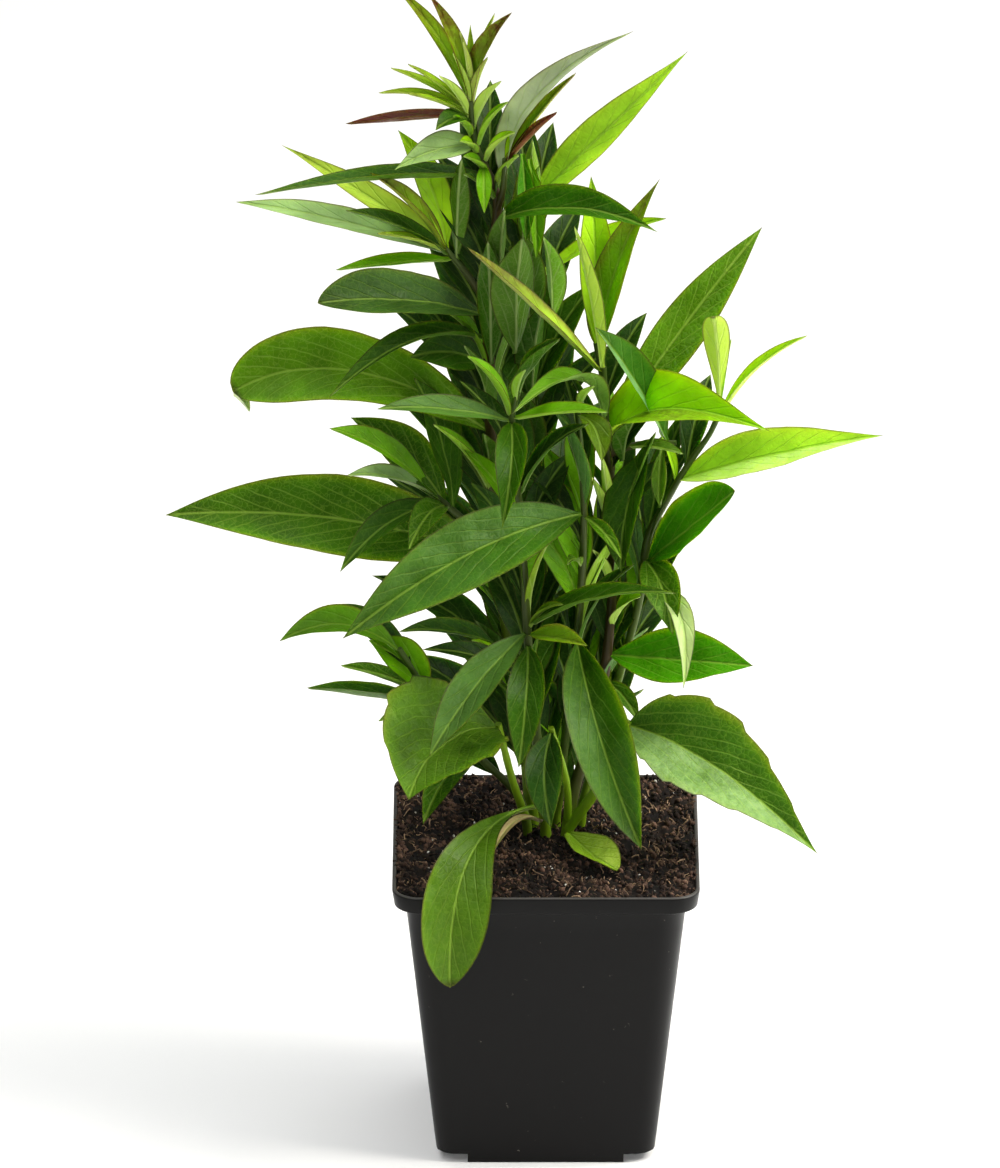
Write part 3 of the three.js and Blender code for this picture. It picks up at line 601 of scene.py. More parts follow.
def leaf_tree():
    """A blade for each point: a folded, arched strip over a rib, closed above and below."""
    tree, node, given = new_tree("aster leaves", {"Stations": "Int", "Lanes": "Int", "Thickness": "Float",
                                                  "Rib": "Float", "Swells": "Float", "Material": "Material"})
    grid = node("GeometryNodeMeshGrid",
                {"Size X": 1, "Size Y": 2, "Vertices X": given["Stations"], "Vertices Y": given["Lanes"]})
    place = node("ShaderNodeSeparateXYZ", [node("GeometryNodeInputPosition")])
    along = node("MULTIPLY", [place.outputs["X"], math.pi])
    along = node("ADD", [node("SINE", [along]), place.outputs["X"]])
    along = node("MULTIPLY_ADD", [along, 1 / 3, 0.5])
    apart = node("POWER", [node("ABSOLUTE", [place.outputs["Y"]]), 1.3])
    across = node("MULTIPLY", [apart, node("SIGN", [place.outputs["Y"]])])
    sheet = node(STORE, [grid, None, "along", along])
    sheet = node(STORE, [sheet, None, "across", across])
    top = node(STORE, [sheet, None, "under", 0.0])
    below = node(STORE, [node("GeometryNodeFlipFaces", [sheet]), None, "under", 1.0])
    both = node("GeometryNodeJoinGeometry")
    for face in (below, top):
        tree.links.new(face.outputs[0], both.inputs[0])
    blades = node("GeometryNodeInstanceOnPoints", {"Points": given["Geometry"], "Instance": both})
    blades = node("GeometryNodeRealizeInstances", [blades])

    joint, bend, tip, level = (node(READ, {"Name": name}, data_type="FLOAT_VECTOR")
                               for name in ("joint", "bend", "tip", "level"))
    u, v, under, roll, rise, fall, widest, length, teeth, tooth, lift, wave, phase, reach = (
        node(READ, {"Name": name})
        for name in ("along", "across", "under", "roll", "rise", "fall", "half", "length", "teeth", "tooth",
                     "lift", "wave", "phase", "reach"))
    first = node(MIX, [u, joint, bend], data_type="VECTOR")
    second = node(MIX, [u, bend, tip], data_type="VECTOR")
    rib = node(MIX, [u, first, second], data_type="VECTOR")
    heading = node(VECTOR, [node(VECTOR, [second, first], operation="SUBTRACT")], operation="NORMALIZE")
    up = node(VECTOR, [heading, level], operation="CROSS_PRODUCT")
    up = node(VECTOR, [up], operation="NORMALIZE")
    side = node(VECTOR, [up, heading], operation="CROSS_PRODUCT")
    side, up = (node("ShaderNodeVectorRotate", {"Vector": way, "Axis": heading, "Angle": roll})
                for way in (side, up))

    rest = node("SUBTRACT", [1.0, u])
    widen, narrow = node("POWER", [u, rise]), node("POWER", [rest, fall])
    half = node("MULTIPLY", [node("MULTIPLY", [widen, narrow]), widest])
    stalk = node("MULTIPLY", [node("POWER", [rest, 0.6]), STALK * MM / 2])
    half = node("MAXIMUM", [half, stalk])
    notch = node("FRACT", [node("MULTIPLY", [u, teeth])])
    notch = node("MULTIPLY_ADD", [notch, tooth, 0.97])
    half = node("MULTIPLY", [half, notch])

    # A trough over the rib that opens towards the edges, with the edges in slow waves
    out = node("MULTIPLY", [v, half])
    away = node("ABSOLUTE", [out])
    trough = node("POWER", [node("ABSOLUTE", [v]), 0.25])
    trough = node("MULTIPLY", [trough, node("MULTIPLY", [away, lift])])
    ripple = node("MULTIPLY_ADD", [u, EDGE_WAVES, phase])
    ripple = node("MULTIPLY", [node("SINE", [ripple]), wave])
    height = node("MULTIPLY_ADD", [ripple, out, trough])
    paced = node("MULTIPLY", [u, length])
    swell = node("ShaderNodeCombineXYZ", [paced, out, phase])
    swell = node(NOISE, {"Vector": swell, "Scale": given["Swells"], "Detail": 2.0})
    swell = node("MULTIPLY", [node("SUBTRACT", [swell, 0.5]), half])
    height = node("MULTIPLY_ADD", [swell, 0.34, height])

    # The under face hangs below by the blade's thickness, and by more along the rib
    ends = node("MULTIPLY", [node("MULTIPLY", [u, rest]), 30.0], use_clamp=True)
    thin = node("SUBTRACT", [1.0, node("MULTIPLY", [v, v])])
    thin = node("MULTIPLY", [node("MULTIPLY", [thin, ends]), under])
    keel = node("SUBTRACT", [1.0, node("DIVIDE", [away, RIB_HALF * MM])], use_clamp=True)
    keel = node("MULTIPLY_ADD", [node("MULTIPLY", [keel, rest]), given["Rib"], given["Thickness"]])
    height = node("SUBTRACT", [height, node("MULTIPLY", [thin, keel])])

    spread = node("MULTIPLY", [out, reach])
    sideways = node(VECTOR, [side, spread], operation="SCALE")
    upwards = node(VECTOR, [up, height], operation="SCALE")
    where = node(VECTOR, [rib, node(VECTOR, [sideways, upwards], operation="ADD")], operation="ADD")
    blades = node("GeometryNodeSetPosition", {"Geometry": blades, "Position": where})
    mark = node("ShaderNodeCombineXYZ", [paced, out, half])
    blades = node(STORE, [blades, None, "blade_place", mark], data_type="FLOAT_VECTOR")
    blades = node("GeometryNodeMergeByDistance", {"Geometry": blades, "Distance": 1e-6})
    bent = node("GeometryNodeInputMeshEdgeAngle")
    sharp = node("GREATER_THAN", [bent.outputs["Unsigned Angle"], 1.2])
    blades = node(SMOOTH, [blades, sharp, False], domain="EDGE")
    end_tree(node, blades, given)
    return tree


def blade(axis, row):
    """What the leaf tree needs for one leaf, from the stem's axis at its joint and its row."""
    _, tip, arch, width, roll, fold, tone = row[:7]
    extra = row[7] if len(row) > 7 else {}
    tip = np.array(tip, float)
    joint = axis + (tip - axis) * BASE_DEPTH / np.linalg.norm(tip - axis)
    chord = tip - joint
    face = extra.get("face")
    azimuth = math.atan2(chord[1], chord[0]) if face is None else math.radians(face)
    level = np.array((-math.sin(azimuth), math.cos(azimuth), 0))
    upward = np.cross(chord / np.linalg.norm(chord), level)
    upward /= np.linalg.norm(upward)
    bend = joint + chord * extra.get("lean", 0.5) + 2 * arch * upward + 2 * extra.get("sway", 0) * level
    rise, fall = FORMS[extra.get("form", "lance")]
    widest = rise / (rise + fall)
    peak = widest ** rise * (1 - widest) ** fall
    upper, lower, flush, veined = TONES[tone]
    return {
        "joint": joint * MM, "bend": bend * MM, "tip": tip * MM, "level": level,
        "width": width, "half": width / 2 / peak * MM, "rise": rise, "fall": fall,
        "length": np.linalg.norm(chord) * MM, "roll": math.radians(roll),
        "reach": math.cos(math.radians(fold)), "lift": math.sin(math.radians(1.6 * fold)),
        "wave": 2 * WAVE_SHARE if width > BROAD_LEAF else WAVE_SHARE / 2, "phase": tip[0],
        "teeth": extra.get("teeth", 0) + 0.001, "tooth": 2 * TOOTH if "teeth" in extra else 0.03,
        # Painted light and shade on one half of the blade: how strong, on which side, and its colour
        "bloom": extra.get("bloom", 0), "wash": linear(extra.get("wash", PAINTED_SHEEN)),
        "flush": flush, "veined": veined, "upper": linear(upper), "lower": linear(lower),
    }


def heading_of(azimuth, slope):
    """The direction with this turn about the stem and this slope, both in radians."""
    level = math.cos(slope)
    return np.array((math.cos(azimuth) * level, math.sin(azimuth) * level, math.sin(slope)))


def inner_row(axis, row):
    """An inner leaf's row in the form of the others'."""
    height, turn, rise, length, width = row
    azimuth = math.radians(turn)
    tip = axis + heading_of(azimuth, math.radians(rise)) * length
    return height, tip, length * INNER_ARCH, width, INNER_ROLL * math.cos(azimuth), INNER_FOLD, "shade"


def filling_leaves(curve, sector, seed):
    """Steep dark leaves close to the stem, which close the gaps behind the outer ones."""
    draw = np.random.default_rng(seed)
    lowest, spare, step = FILLING
    for z in np.arange(lowest, curve(1)[2] - spare, step):
        turn = math.radians(draw.uniform(*sector))
        rise = math.radians(draw.uniform(42, 68))
        length = draw.uniform(26, 42)
        axis = at_height(curve, z + draw.uniform(-2, 2))
        tone = ("shade", "shade", "deep", "deepblue", "fresh")[draw.integers(5)]
        arch, width, roll = draw.uniform(2, 5), draw.uniform(8, 13), draw.uniform(-60, 60)
        yield axis, (0, axis + heading_of(turn, rise) * length, arch, width, roll, INNER_FOLD, tone)


def leaf_rows(stem, curves):
    """What the leaf tree needs for every leaf of a stem."""
    main = curves["main"][0]
    rows = []
    for shoot, leaves in stem["leaves"].items():
        rows += [blade(at_height(curves[shoot][0], leaf[0]), leaf) for leaf in leaves]
    for leaf in stem.get("young", ()):
        axis = np.array(leaf[0], float) if isinstance(leaf[0], tuple) else at_height(main, leaf[0])
        rows.append(blade(axis, leaf))
    for leaf in stem["inner"]:
        axis = at_height(main, leaf[0])
        rows.append(blade(axis, inner_row(axis, leaf)))
    if "filling" in stem:
        rows += [blade(axis, leaf) for axis, leaf in filling_leaves(main, *stem["filling"])]
    return rows


def leaves_of(name, rows, stations, lanes, tree, material):
    """Leaves of one stem as one mesh, from a point for each with all that it needs."""
    points = mesh_of(name, [row["joint"] / MM for row in rows])
    for key in rows[0]:
        values = [row[key] for row in rows]
        kind = {1: "FLOAT", 3: "FLOAT_VECTOR", 4: "FLOAT_COLOR"}[np.size(values[0])]
        give(points, key, kind, values)
    leaves = grown(name, points, tree, {"Stations": stations, "Lanes": lanes, "Thickness": BLADE * MM,
                                        "Rib": RIB * MM, "Swells": 70.0, "Material": material})
    painted = {"upper", "lower", "flush", "veined", "bloom", "wash", "phase"}
    for key in set(rows[0]) - painted:
        if key in leaves.data.attributes:
            leaves.data.attributes.remove(leaves.data.attributes[key])
    return leaves


# Shoots

def shoot_tree():
    """Round tubes along edges, as thick as each point says."""
    tree, node, given = new_tree("aster shoots", {"Sides": "Int", "Material": "Material"})
    curve = node("GeometryNodeMeshToCurve", [given["Geometry"]])
    thick = node(READ, {"Name": "thick"})
    ring = node("GeometryNodeCurvePrimitiveCircle", {"Resolution": given["Sides"], "Radius": 1.0})
    tube = node("GeometryNodeCurveToMesh",
                {"Curve": curve, "Profile Curve": ring, "Scale": thick, "Fill Caps": True})
    tube = node(SMOOTH, {"Geometry": tube, "Shade Smooth": True})
    end_tree(node, tube, given)
    return tree


def shoots_of(name, curves, blush, tree, material):
    """The stem and its side shoots as round tubes, with how old and how red each place is."""
    points, edges, thick, age = [], [], [], []
    for curve, (foot, tip) in curves.values():
        steps = 60 if len(edges) == 0 else 16
        start = len(points)
        low = curve(0)[2] < LOW_SHOOT
        for i in range(steps + 1):
            t = i / steps
            points.append(curve(t))
            thick.append((foot + (tip - foot) * t) * (1 + 0.06 * math.sin(40 * t)) * MM)
            age.append(t if start == 0 else 0.25 * t if low else 0.75 + 0.25 * t)
            if i:
                edges.append((start + i - 1, start + i))
    path = mesh_of(name, points, edges)
    give(path, "thick", "FLOAT", thick)
    give(path, "age", "FLOAT", age)
    give(path, "blush", "FLOAT", [blush] * len(points))
    return grown(name, path, tree, {"Sides": 14, "Material": material})


# Pot and soil

def square_ring(half, corner, z, arc=10, marks=(0.97, 0.75, 0.5, 0.25, 0, -0.25, -0.5, -0.75, -0.97)):
    """One level of the pot: four sides with round corners, as points from one corner round to it."""
    ring = []
    straight = half - corner
    for turn in range(4):
        bends = [math.pi / 2 * step / arc for step in range(arc + 1)]
        quarter = [(straight + corner * math.cos(bend), straight + corner * math.sin(bend)) for bend in bends]
        quarter += [(straight * mark, half) for mark in marks]
        cosine, sine = ((1, 0), (0, 1), (-1, 0), (0, -1))[turn]
        ring += [(x * cosine - y * sine, x * sine + y * cosine, z) for x, y in quarter]
    return ring


def lofted(name, rings):
    """A closed skin over a row of rings of equal length, as an object."""
    size = len(rings[0])
    points = [point for ring in rings for point in ring]
    faces = [tuple(range(size - 1, -1, -1)), tuple(range(len(points) - size, len(points)))]
    for level in range(len(rings) - 1):
        for i in range(size):
            a, b = level * size + i, level * size + (i + 1) % size
            faces.append((a, b, b + size, a + size))
    return shown(name, mesh_of(name, points, faces=faces))


def body_half(z):
    """Half the pot's width at a height, on its tapered outer face."""
    share = z / SHOULDER
    return BASE_HALF + share * (RIM_HALF - COLLAR_STEP - BASE_HALF)


def block(name, low, high):
    """A box between two corners."""
    corners = [(x, y, z) for x in (low[0], high[0]) for y in (low[1], high[1]) for z in (low[2], high[2])]
    faces = [(0, 1, 3, 2), (4, 6, 7, 5), (0, 4, 5, 1), (2, 3, 7, 6), (0, 2, 6, 4), (1, 5, 7, 3)]
    return shown(name, mesh_of(name, corners, faces=faces))


def combine(made, others, operation):
    """Joins shapes to an object, cuts them out or keeps what they share. The result is its mesh."""
    for other in others:
        modifier = made.modifiers.new("combine", "BOOLEAN")
        modifier.operation = operation
        modifier.solver = "EXACT"
        modifier.object = other
    evaluated = made.evaluated_get(bpy.context.evaluated_depsgraph_get())
    result = bpy.data.meshes.new_from_object(evaluated)
    made.modifiers.clear()
    made.data = result
    for other in others:
        bpy.data.objects.remove(other)


def raised_corners(margin):
    """Blocks that lift the four corners of the base, grown by a margin."""
    inner = BASE_HALF - CORNER_WIDTH - margin
    return [block("raised_corner", (min(x * inner, x * RIM_HALF), min(y * inner, y * RIM_HALF), -1),
                  (max(x * inner, x * RIM_HALF), max(y * inner, y * RIM_HALF), CORNER_LIFT + margin))
            for x in (-1, 1) for y in (-1, 1)]


def corner_floors():
    """The pot's floor over its raised corners: the corners grown by the wall, within the pot's own wall."""
    inset = WALL / 3
    for floor in raised_corners(WALL):
        levels = [(body_half(z) - inset, BASE_CORNER - inset, z) for z in (inset, 2 * CORNER_LIFT)]
        core = lofted("core", [square_ring(half, corner, z) for half, corner, z in levels])
        combine(floor, [core], "INTERSECT")
        yield floor


def rounded(start, end, steps=5):
    """A quarter of an ellipse from one (half, z) to another, level at its start and upright at its end."""
    for step in range(steps + 1):
        angle = math.pi / 2 * step / steps
        yield (start[0] + (end[0] - start[0]) * math.sin(angle),
               start[1] + (end[1] - start[1]) * (1 - math.cos(angle)))


def make_pot(plastic):
    """The moulded pot: a tapered wall, a collar with a rounded lip, raised corners and drain holes."""
    foot = rounded((BASE_HALF - 0.6, 0), (BASE_HALF, 0.6))
    levels = [(half, BASE_CORNER * half / BASE_HALF, z) for half, z in foot]
    levels += [(body_half(z), BASE_CORNER + (RIM_CORNER - BASE_CORNER) * z / SHOULDER, z)
               for z in (8, 20, 32, 44, 56, 68, 78, SHOULDER - 0.5)]
    under_collar = ((0.12, 0.12), (0.5, 0))
    levels += [(body_half(SHOULDER) + out, RIM_CORNER, SHOULDER - down) for out, down in under_collar]
    edge = RIM_HALF - COLLAR_DRAFT
    collar = rounded((edge - 0.4, SHOULDER), (edge, SHOULDER + 0.4), 4)
    levels += [(half, RIM_CORNER, z) for half, z in collar]
    levels += [(RIM_HALF - inset, RIM_CORNER - smaller, POT_HEIGHT - below) for inset, smaller, below in LIP]
    inside = SHOULDER + WALL
    levels += [(RIM_HALF - WALL - COLLAR_DRAFT, RIM_CORNER - WALL, inside),
               (body_half(inside) - WALL, RIM_CORNER - WALL, inside - 0.3),
               (body_half(WALL) - WALL, BASE_CORNER - WALL, WALL)]
    pot = lofted("pot_moulding", [square_ring(half, corner, z) for half, corner, z in levels])
    fix_faces(pot)

    holes = []
    around = np.linspace(0, 2 * math.pi, 28, endpoint=False)
    for i in range(4):
        angle = (i + 0.5) * math.pi / 2
        x, y = DRAIN_REACH * math.cos(angle), DRAIN_REACH * math.sin(angle)
        rings = [[(x + DRAIN_RADIUS * math.cos(t), y + DRAIN_RADIUS * math.sin(t), z) for t in around]
                 for z in (-1, CORNER_LIFT + 2 * WALL)]
        holes.append(lofted("drain", rings))
    combine(pot, list(corner_floors()), "UNION")
    combine(pot, raised_corners(0) + holes, "DIFFERENCE")
    pot.data.materials.clear()
    pot.data.materials.append(plastic)
    pot.data.shade_smooth()
    pot.data.set_sharp_from_angle(angle=math.radians(35))
    return pot


def fix_faces(made):
    """Turns every face of a closed skin outwards."""
    shape = bmesh.new()
    shape.from_mesh(made.data)
    bmesh.ops.recalc_face_normals(shape, faces=shape.faces)
    shape.to_mesh(made.data)
    shape.free()


def soil_height(x, y):
    """The soil's waved level, with a mound round the stems and a heap along the sides and the back."""
    away = math.hypot(x - CROWN[0], y - CROWN[1]) / CROWN_RADIUS
    broad = math.sin(0.31 * x + 1.3) * math.cos(0.27 * y)
    small = 0.6 * math.sin(0.53 * y - 0.41 * x)
    heap = SOIL_HEAP * min(max((max(abs(x), y) - 33) / 8, 0), 1)
    return SOIL_TOP + SOIL_MOUND * math.exp(-away * away) + SOIL_LUMP * (broad + small) + heap


def peat_tree():
    """Roughens the soil's upper face into crumbs and clods."""
    tree, node, given = new_tree("peat surface", {"Clod Size": "Float", "Crumb Size": "Float",
                                                  "Height": "Float", "Material": "Material"})
    clods = node(NOISE, {"Scale": node("DIVIDE", [1.0, given["Clod Size"]]), "Detail": 5.0,
                         "Roughness": 0.62})
    crumbs = node("ShaderNodeTexVoronoi", {"Scale": node("DIVIDE", [1.0, given["Crumb Size"]])})
    rise = node("SUBTRACT", [clods, 0.5])
    lump = node("SUBTRACT", [0.5, crumbs.outputs["Distance"]])
    rise = node("MULTIPLY_ADD", [lump, 0.45, rise])
    rise = node("MULTIPLY", [rise, given["Height"]])
    upper = node(READ, {"Name": "upper"})
    rise = node("MULTIPLY", [rise, upper])
    ground = node("GeometryNodeSetPosition",
                  {"Geometry": given["Geometry"], "Offset": node("ShaderNodeCombineXYZ", {"Z": rise})})
    ground = node(SMOOTH, {"Geometry": ground, "Shade Smooth": True})
    end_tree(node, ground, given)
    return tree


def litter_tree(name, shape, tilt):
    """Scatters a small shape over the soil's upper face, turned and sized at random."""
    tree, node, given = new_tree(name, {"Density": "Float", "Seed": "Int", "Smallest": "Float",
                                        "Largest": "Float", "Material": "Material"})
    normal = node("ShaderNodeSeparateXYZ", [node("GeometryNodeInputNormal")])
    upwards = node("GREATER_THAN", [normal.outputs["Z"], 0.4])
    spots = node("GeometryNodeDistributePointsOnFaces",
                 {"Mesh": given["Geometry"], "Selection": upwards, "Density": given["Density"],
                  "Seed": given["Seed"]})
    turn = node(RANDOM, [(-tilt, -tilt, 0), (tilt, tilt, 6.28), None, 3], data_type="FLOAT_VECTOR")
    size = node(RANDOM, [given["Smallest"], given["Largest"], None, 4])
    pieces = node("GeometryNodeInstanceOnPoints",
                  {"Points": spots.outputs["Points"], "Instance": shape(node), "Rotation": turn,
                   "Scale": size})
    tone = node(RANDOM, {"Seed": 5})
    pieces = node(STORE, [pieces, None, "tone", tone], domain="INSTANCE")
    pieces = node("GeometryNodeRealizeInstances", [pieces])
    wobble = node(NOISE, {"Scale": 900.0, "Detail": 1.0})
    wobble = node(VECTOR, [wobble.outputs["Color"], (0.5, 0.5, 0.5)], operation="SUBTRACT")
    wobble = node(VECTOR, [wobble, 0.9 * MM], operation="SCALE")
    pieces = node("GeometryNodeSetPosition", {"Geometry": pieces, "Offset": wobble})
    pieces = node(SMOOTH, {"Geometry": pieces, "Shade Smooth": True})
    end_tree(node, pieces, given)
    return tree


def crumb(node):
    """A flattened crumb, 1 long."""
    lump = node("GeometryNodeMeshIcoSphere", {"Radius": 0.5, "Subdivisions": 1})
    return node("GeometryNodeTransform", {"Geometry": lump.outputs["Mesh"], "Scale": (1.0, 0.8, 0.62)})


def fibre(node):
    """A bent root fibre, 1 long."""
    line = node("GeometryNodeCurveQuadraticBezier",
                {"Resolution": 5, "Start": (-0.5, 0, 0.03), "Middle": (0.05, 0.28, 0.16),
                 "End": (0.5, -0.05, 0.02)})
    ring = node("GeometryNodeCurvePrimitiveCircle", {"Resolution": 4, "Radius": 0.045})
    return node("GeometryNodeCurveToMesh", {"Curve": line, "Profile Curve": ring, "Fill Caps": True})


def rim_spill():
    """A strip along the back and the two sides of the rim, where crumbs lie on the lip."""
    inner, outer, z = RIM_HALF - WALL - 1.2, RIM_HALF - 0.7, POT_HEIGHT - 0.4
    path = [(-1, -0.55), (-1, 0.92), (-0.92, 1), (0.92, 1), (1, 0.92), (1, -0.7)]
    points = [(x * half, y * half, z) for half in (inner, outer) for x, y in path]
    count = len(path)
    faces = [(i, i + count, i + count + 1, i + 1) for i in range(count - 1)]
    spill = mesh_of("spill", points, faces=[face[::-1] for face in faces])
    if spill.polygons[0].normal.z < 0:
        spill.flip_normals()
    return spill


def make_soil(peat, bark, straw, perlite):
    """The peat with its crumbs, fibres and white grains."""
    edge = RIM_HALF - WALL - COLLAR_DRAFT * 0.4 - 0.05
    corner = RIM_CORNER - WALL
    arc, marks = 14, tuple(np.linspace(0.97, -0.97, 46))
    sides = ((CORNER_LIFT + WALL + SOIL_GAP, BASE_CORNER - WALL), (SHOULDER + WALL, corner))
    rings = [square_ring(body_half(z) - WALL - SOIL_GAP, bend, z, arc, marks) for z, bend in sides]
    rings.append(square_ring(edge - 0.5, corner, SHOULDER + WALL + SOIL_GAP, arc, marks))
    steps = 54
    for step in range(steps):
        share = 1 - (step / steps) ** 1.15
        ring = square_ring(edge * share, max(corner * share, 0.02), 0, arc, marks)
        rings.append([(x, y, soil_height(x, y) - 0.5 * (share == 1)) for x, y, _ in ring])
    soil = lofted("soil_ground", rings)
    fix_faces(soil)
    upper = [0.0] * 3 + [0.3] + [1.0] * (steps - 1)  # the sides and the edge stay smooth
    give(soil.data, "upper", "FLOAT", np.repeat(upper, len(rings[0])))
    ground = grown("soil_peat", soil.data, peat_tree(),
                   {"Clod Size": 7 * MM, "Crumb Size": 2.4 * MM, "Height": 4.4 * MM, "Material": peat})
    bpy.data.objects.remove(soil)
    pieces = [ground]
    spill = rim_spill()
    # Name, shape, tilt in radians, pieces for each square metre, seed, smallest and largest length, look
    for name, shape, tilt, density, seed, smallest, largest, look in (
            ("soil_crumbs", crumb, 3.1, 420000, 11, 0.4, 2.7, bark),
            ("soil_fibres", fibre, 1.3, 140000, 12, 1.2, 4.6, straw),
            ("soil_perlite", crumb, 3.1, 14000, 13, 0.5, 1.3, perlite),
            ("soil_spill", crumb, 3.1, 900000, 14, 0.8, 2.1, bark)):
        bed = spill if name == "soil_spill" else ground.data.copy()
        litter = grown(name, bed, litter_tree(name, shape, tilt),
                       {"Density": density, "Seed": seed, "Smallest": smallest * MM, "Largest": largest * MM,
                        "Material": look})
        pieces.append(litter)
    return pieces


# Materials
# A noise's scale is how many of its clouds go into a metre: 90 is 11 mm wide, 420 is 2.4 mm, 2200 is 0.5 mm.

def new_material(name):
    """A material, what adds nodes to it, and its shader."""
    material = bpy.data.materials.new(name)
    material.use_nodes = True
    tree = material.node_tree
    return material, functools.partial(add_node, tree), tree.nodes["Principled BSDF"]


def moulded_polypropylene():
    """Black polypropylene, injection moulded: a satin skin with a fine grain and dust, and a lip lightened by
    wear and by a painted highlight.
    """
    material, node, shader = new_material("moulded polypropylene")
    place = node("ShaderNodeTexCoord").outputs["Object"]
    cloud = node(NOISE, {"Vector": place, "Scale": 28.0, "Detail": 4.0})
    grain = node(NOISE, {"Vector": place, "Scale": 2200.0, "Detail": 2.0})
    dust = node(NOISE, {"Vector": place, "Scale": 330.0, "Detail": 3.0, "Roughness": 0.7})
    speck = node(RAMP, [dust, 0.70, 0.76])
    tint = node(MIX, [cloud, "#070606", "#0c0b0b"], data_type="RGBA")
    tint = node(MIX, [node("MULTIPLY", [speck, 0.5]), tint, "#7d766c"], data_type="RGBA")
    height = node("ShaderNodeSeparateXYZ", [place]).outputs["Z"]
    # The top of the lip is lightened: partly wear, partly a painted highlight along its edge
    lip_wear_and_highlight = node(RAMP, [height, (POT_HEIGHT - 0.5) * MM, (POT_HEIGHT - 0.1) * MM, 0.0, 0.6])
    tint = node(MIX, [lip_wear_and_highlight, tint, "#6e6b68"], data_type="RGBA")
    rough = node(RAMP, [cloud, 0.3, 0.7, 0.3, 0.4])
    bump = node(BUMP, {"Strength": 0.25, "Distance": 0.05 * MM, "Height": grain})
    fill(shader, {"Base Color": tint, "Roughness": rough, "Normal": bump, "IOR": 1.49,
                  "Specular IOR Level": 0.27})
    return material


def soil_material(name, dark, light, scale, flaked, rough=0.95):
    """A matt soil finish between two colours, darker in patches 9 mm wide, with a share of light flakes."""
    material, node, shader = new_material(name)
    place = node("ShaderNodeTexCoord").outputs["Object"]
    cloud = node(NOISE, {"Vector": place, "Scale": scale, "Detail": 5.0, "Roughness": 0.65})
    tone = node(ATTRIBUTE, attribute_name="tone").outputs["Fac"]  # random, one for each crumb or fibre
    blend = node(RAMP, [cloud, 0.35, 0.68])
    patch = node(NOISE, {"Vector": place, "Scale": 110.0, "Detail": 2.0})
    damp = node(RAMP, [patch, 0.4, 0.6, 0.15])
    blend = node("MULTIPLY", [blend, damp])
    flake = node(RAMP, [tone, 0.999 - flaked, 1.0])
    blend = node("MULTIPLY_ADD", [flake, 1.1, blend], use_clamp=True)
    tint = node(MIX, [blend, dark, light], data_type="RGBA")
    bump = node(BUMP, {"Strength": 0.6, "Distance": 0.3 * MM, "Height": cloud})
    fill(shader, {"Base Color": tint, "Roughness": rough, "Normal": bump})
    return material


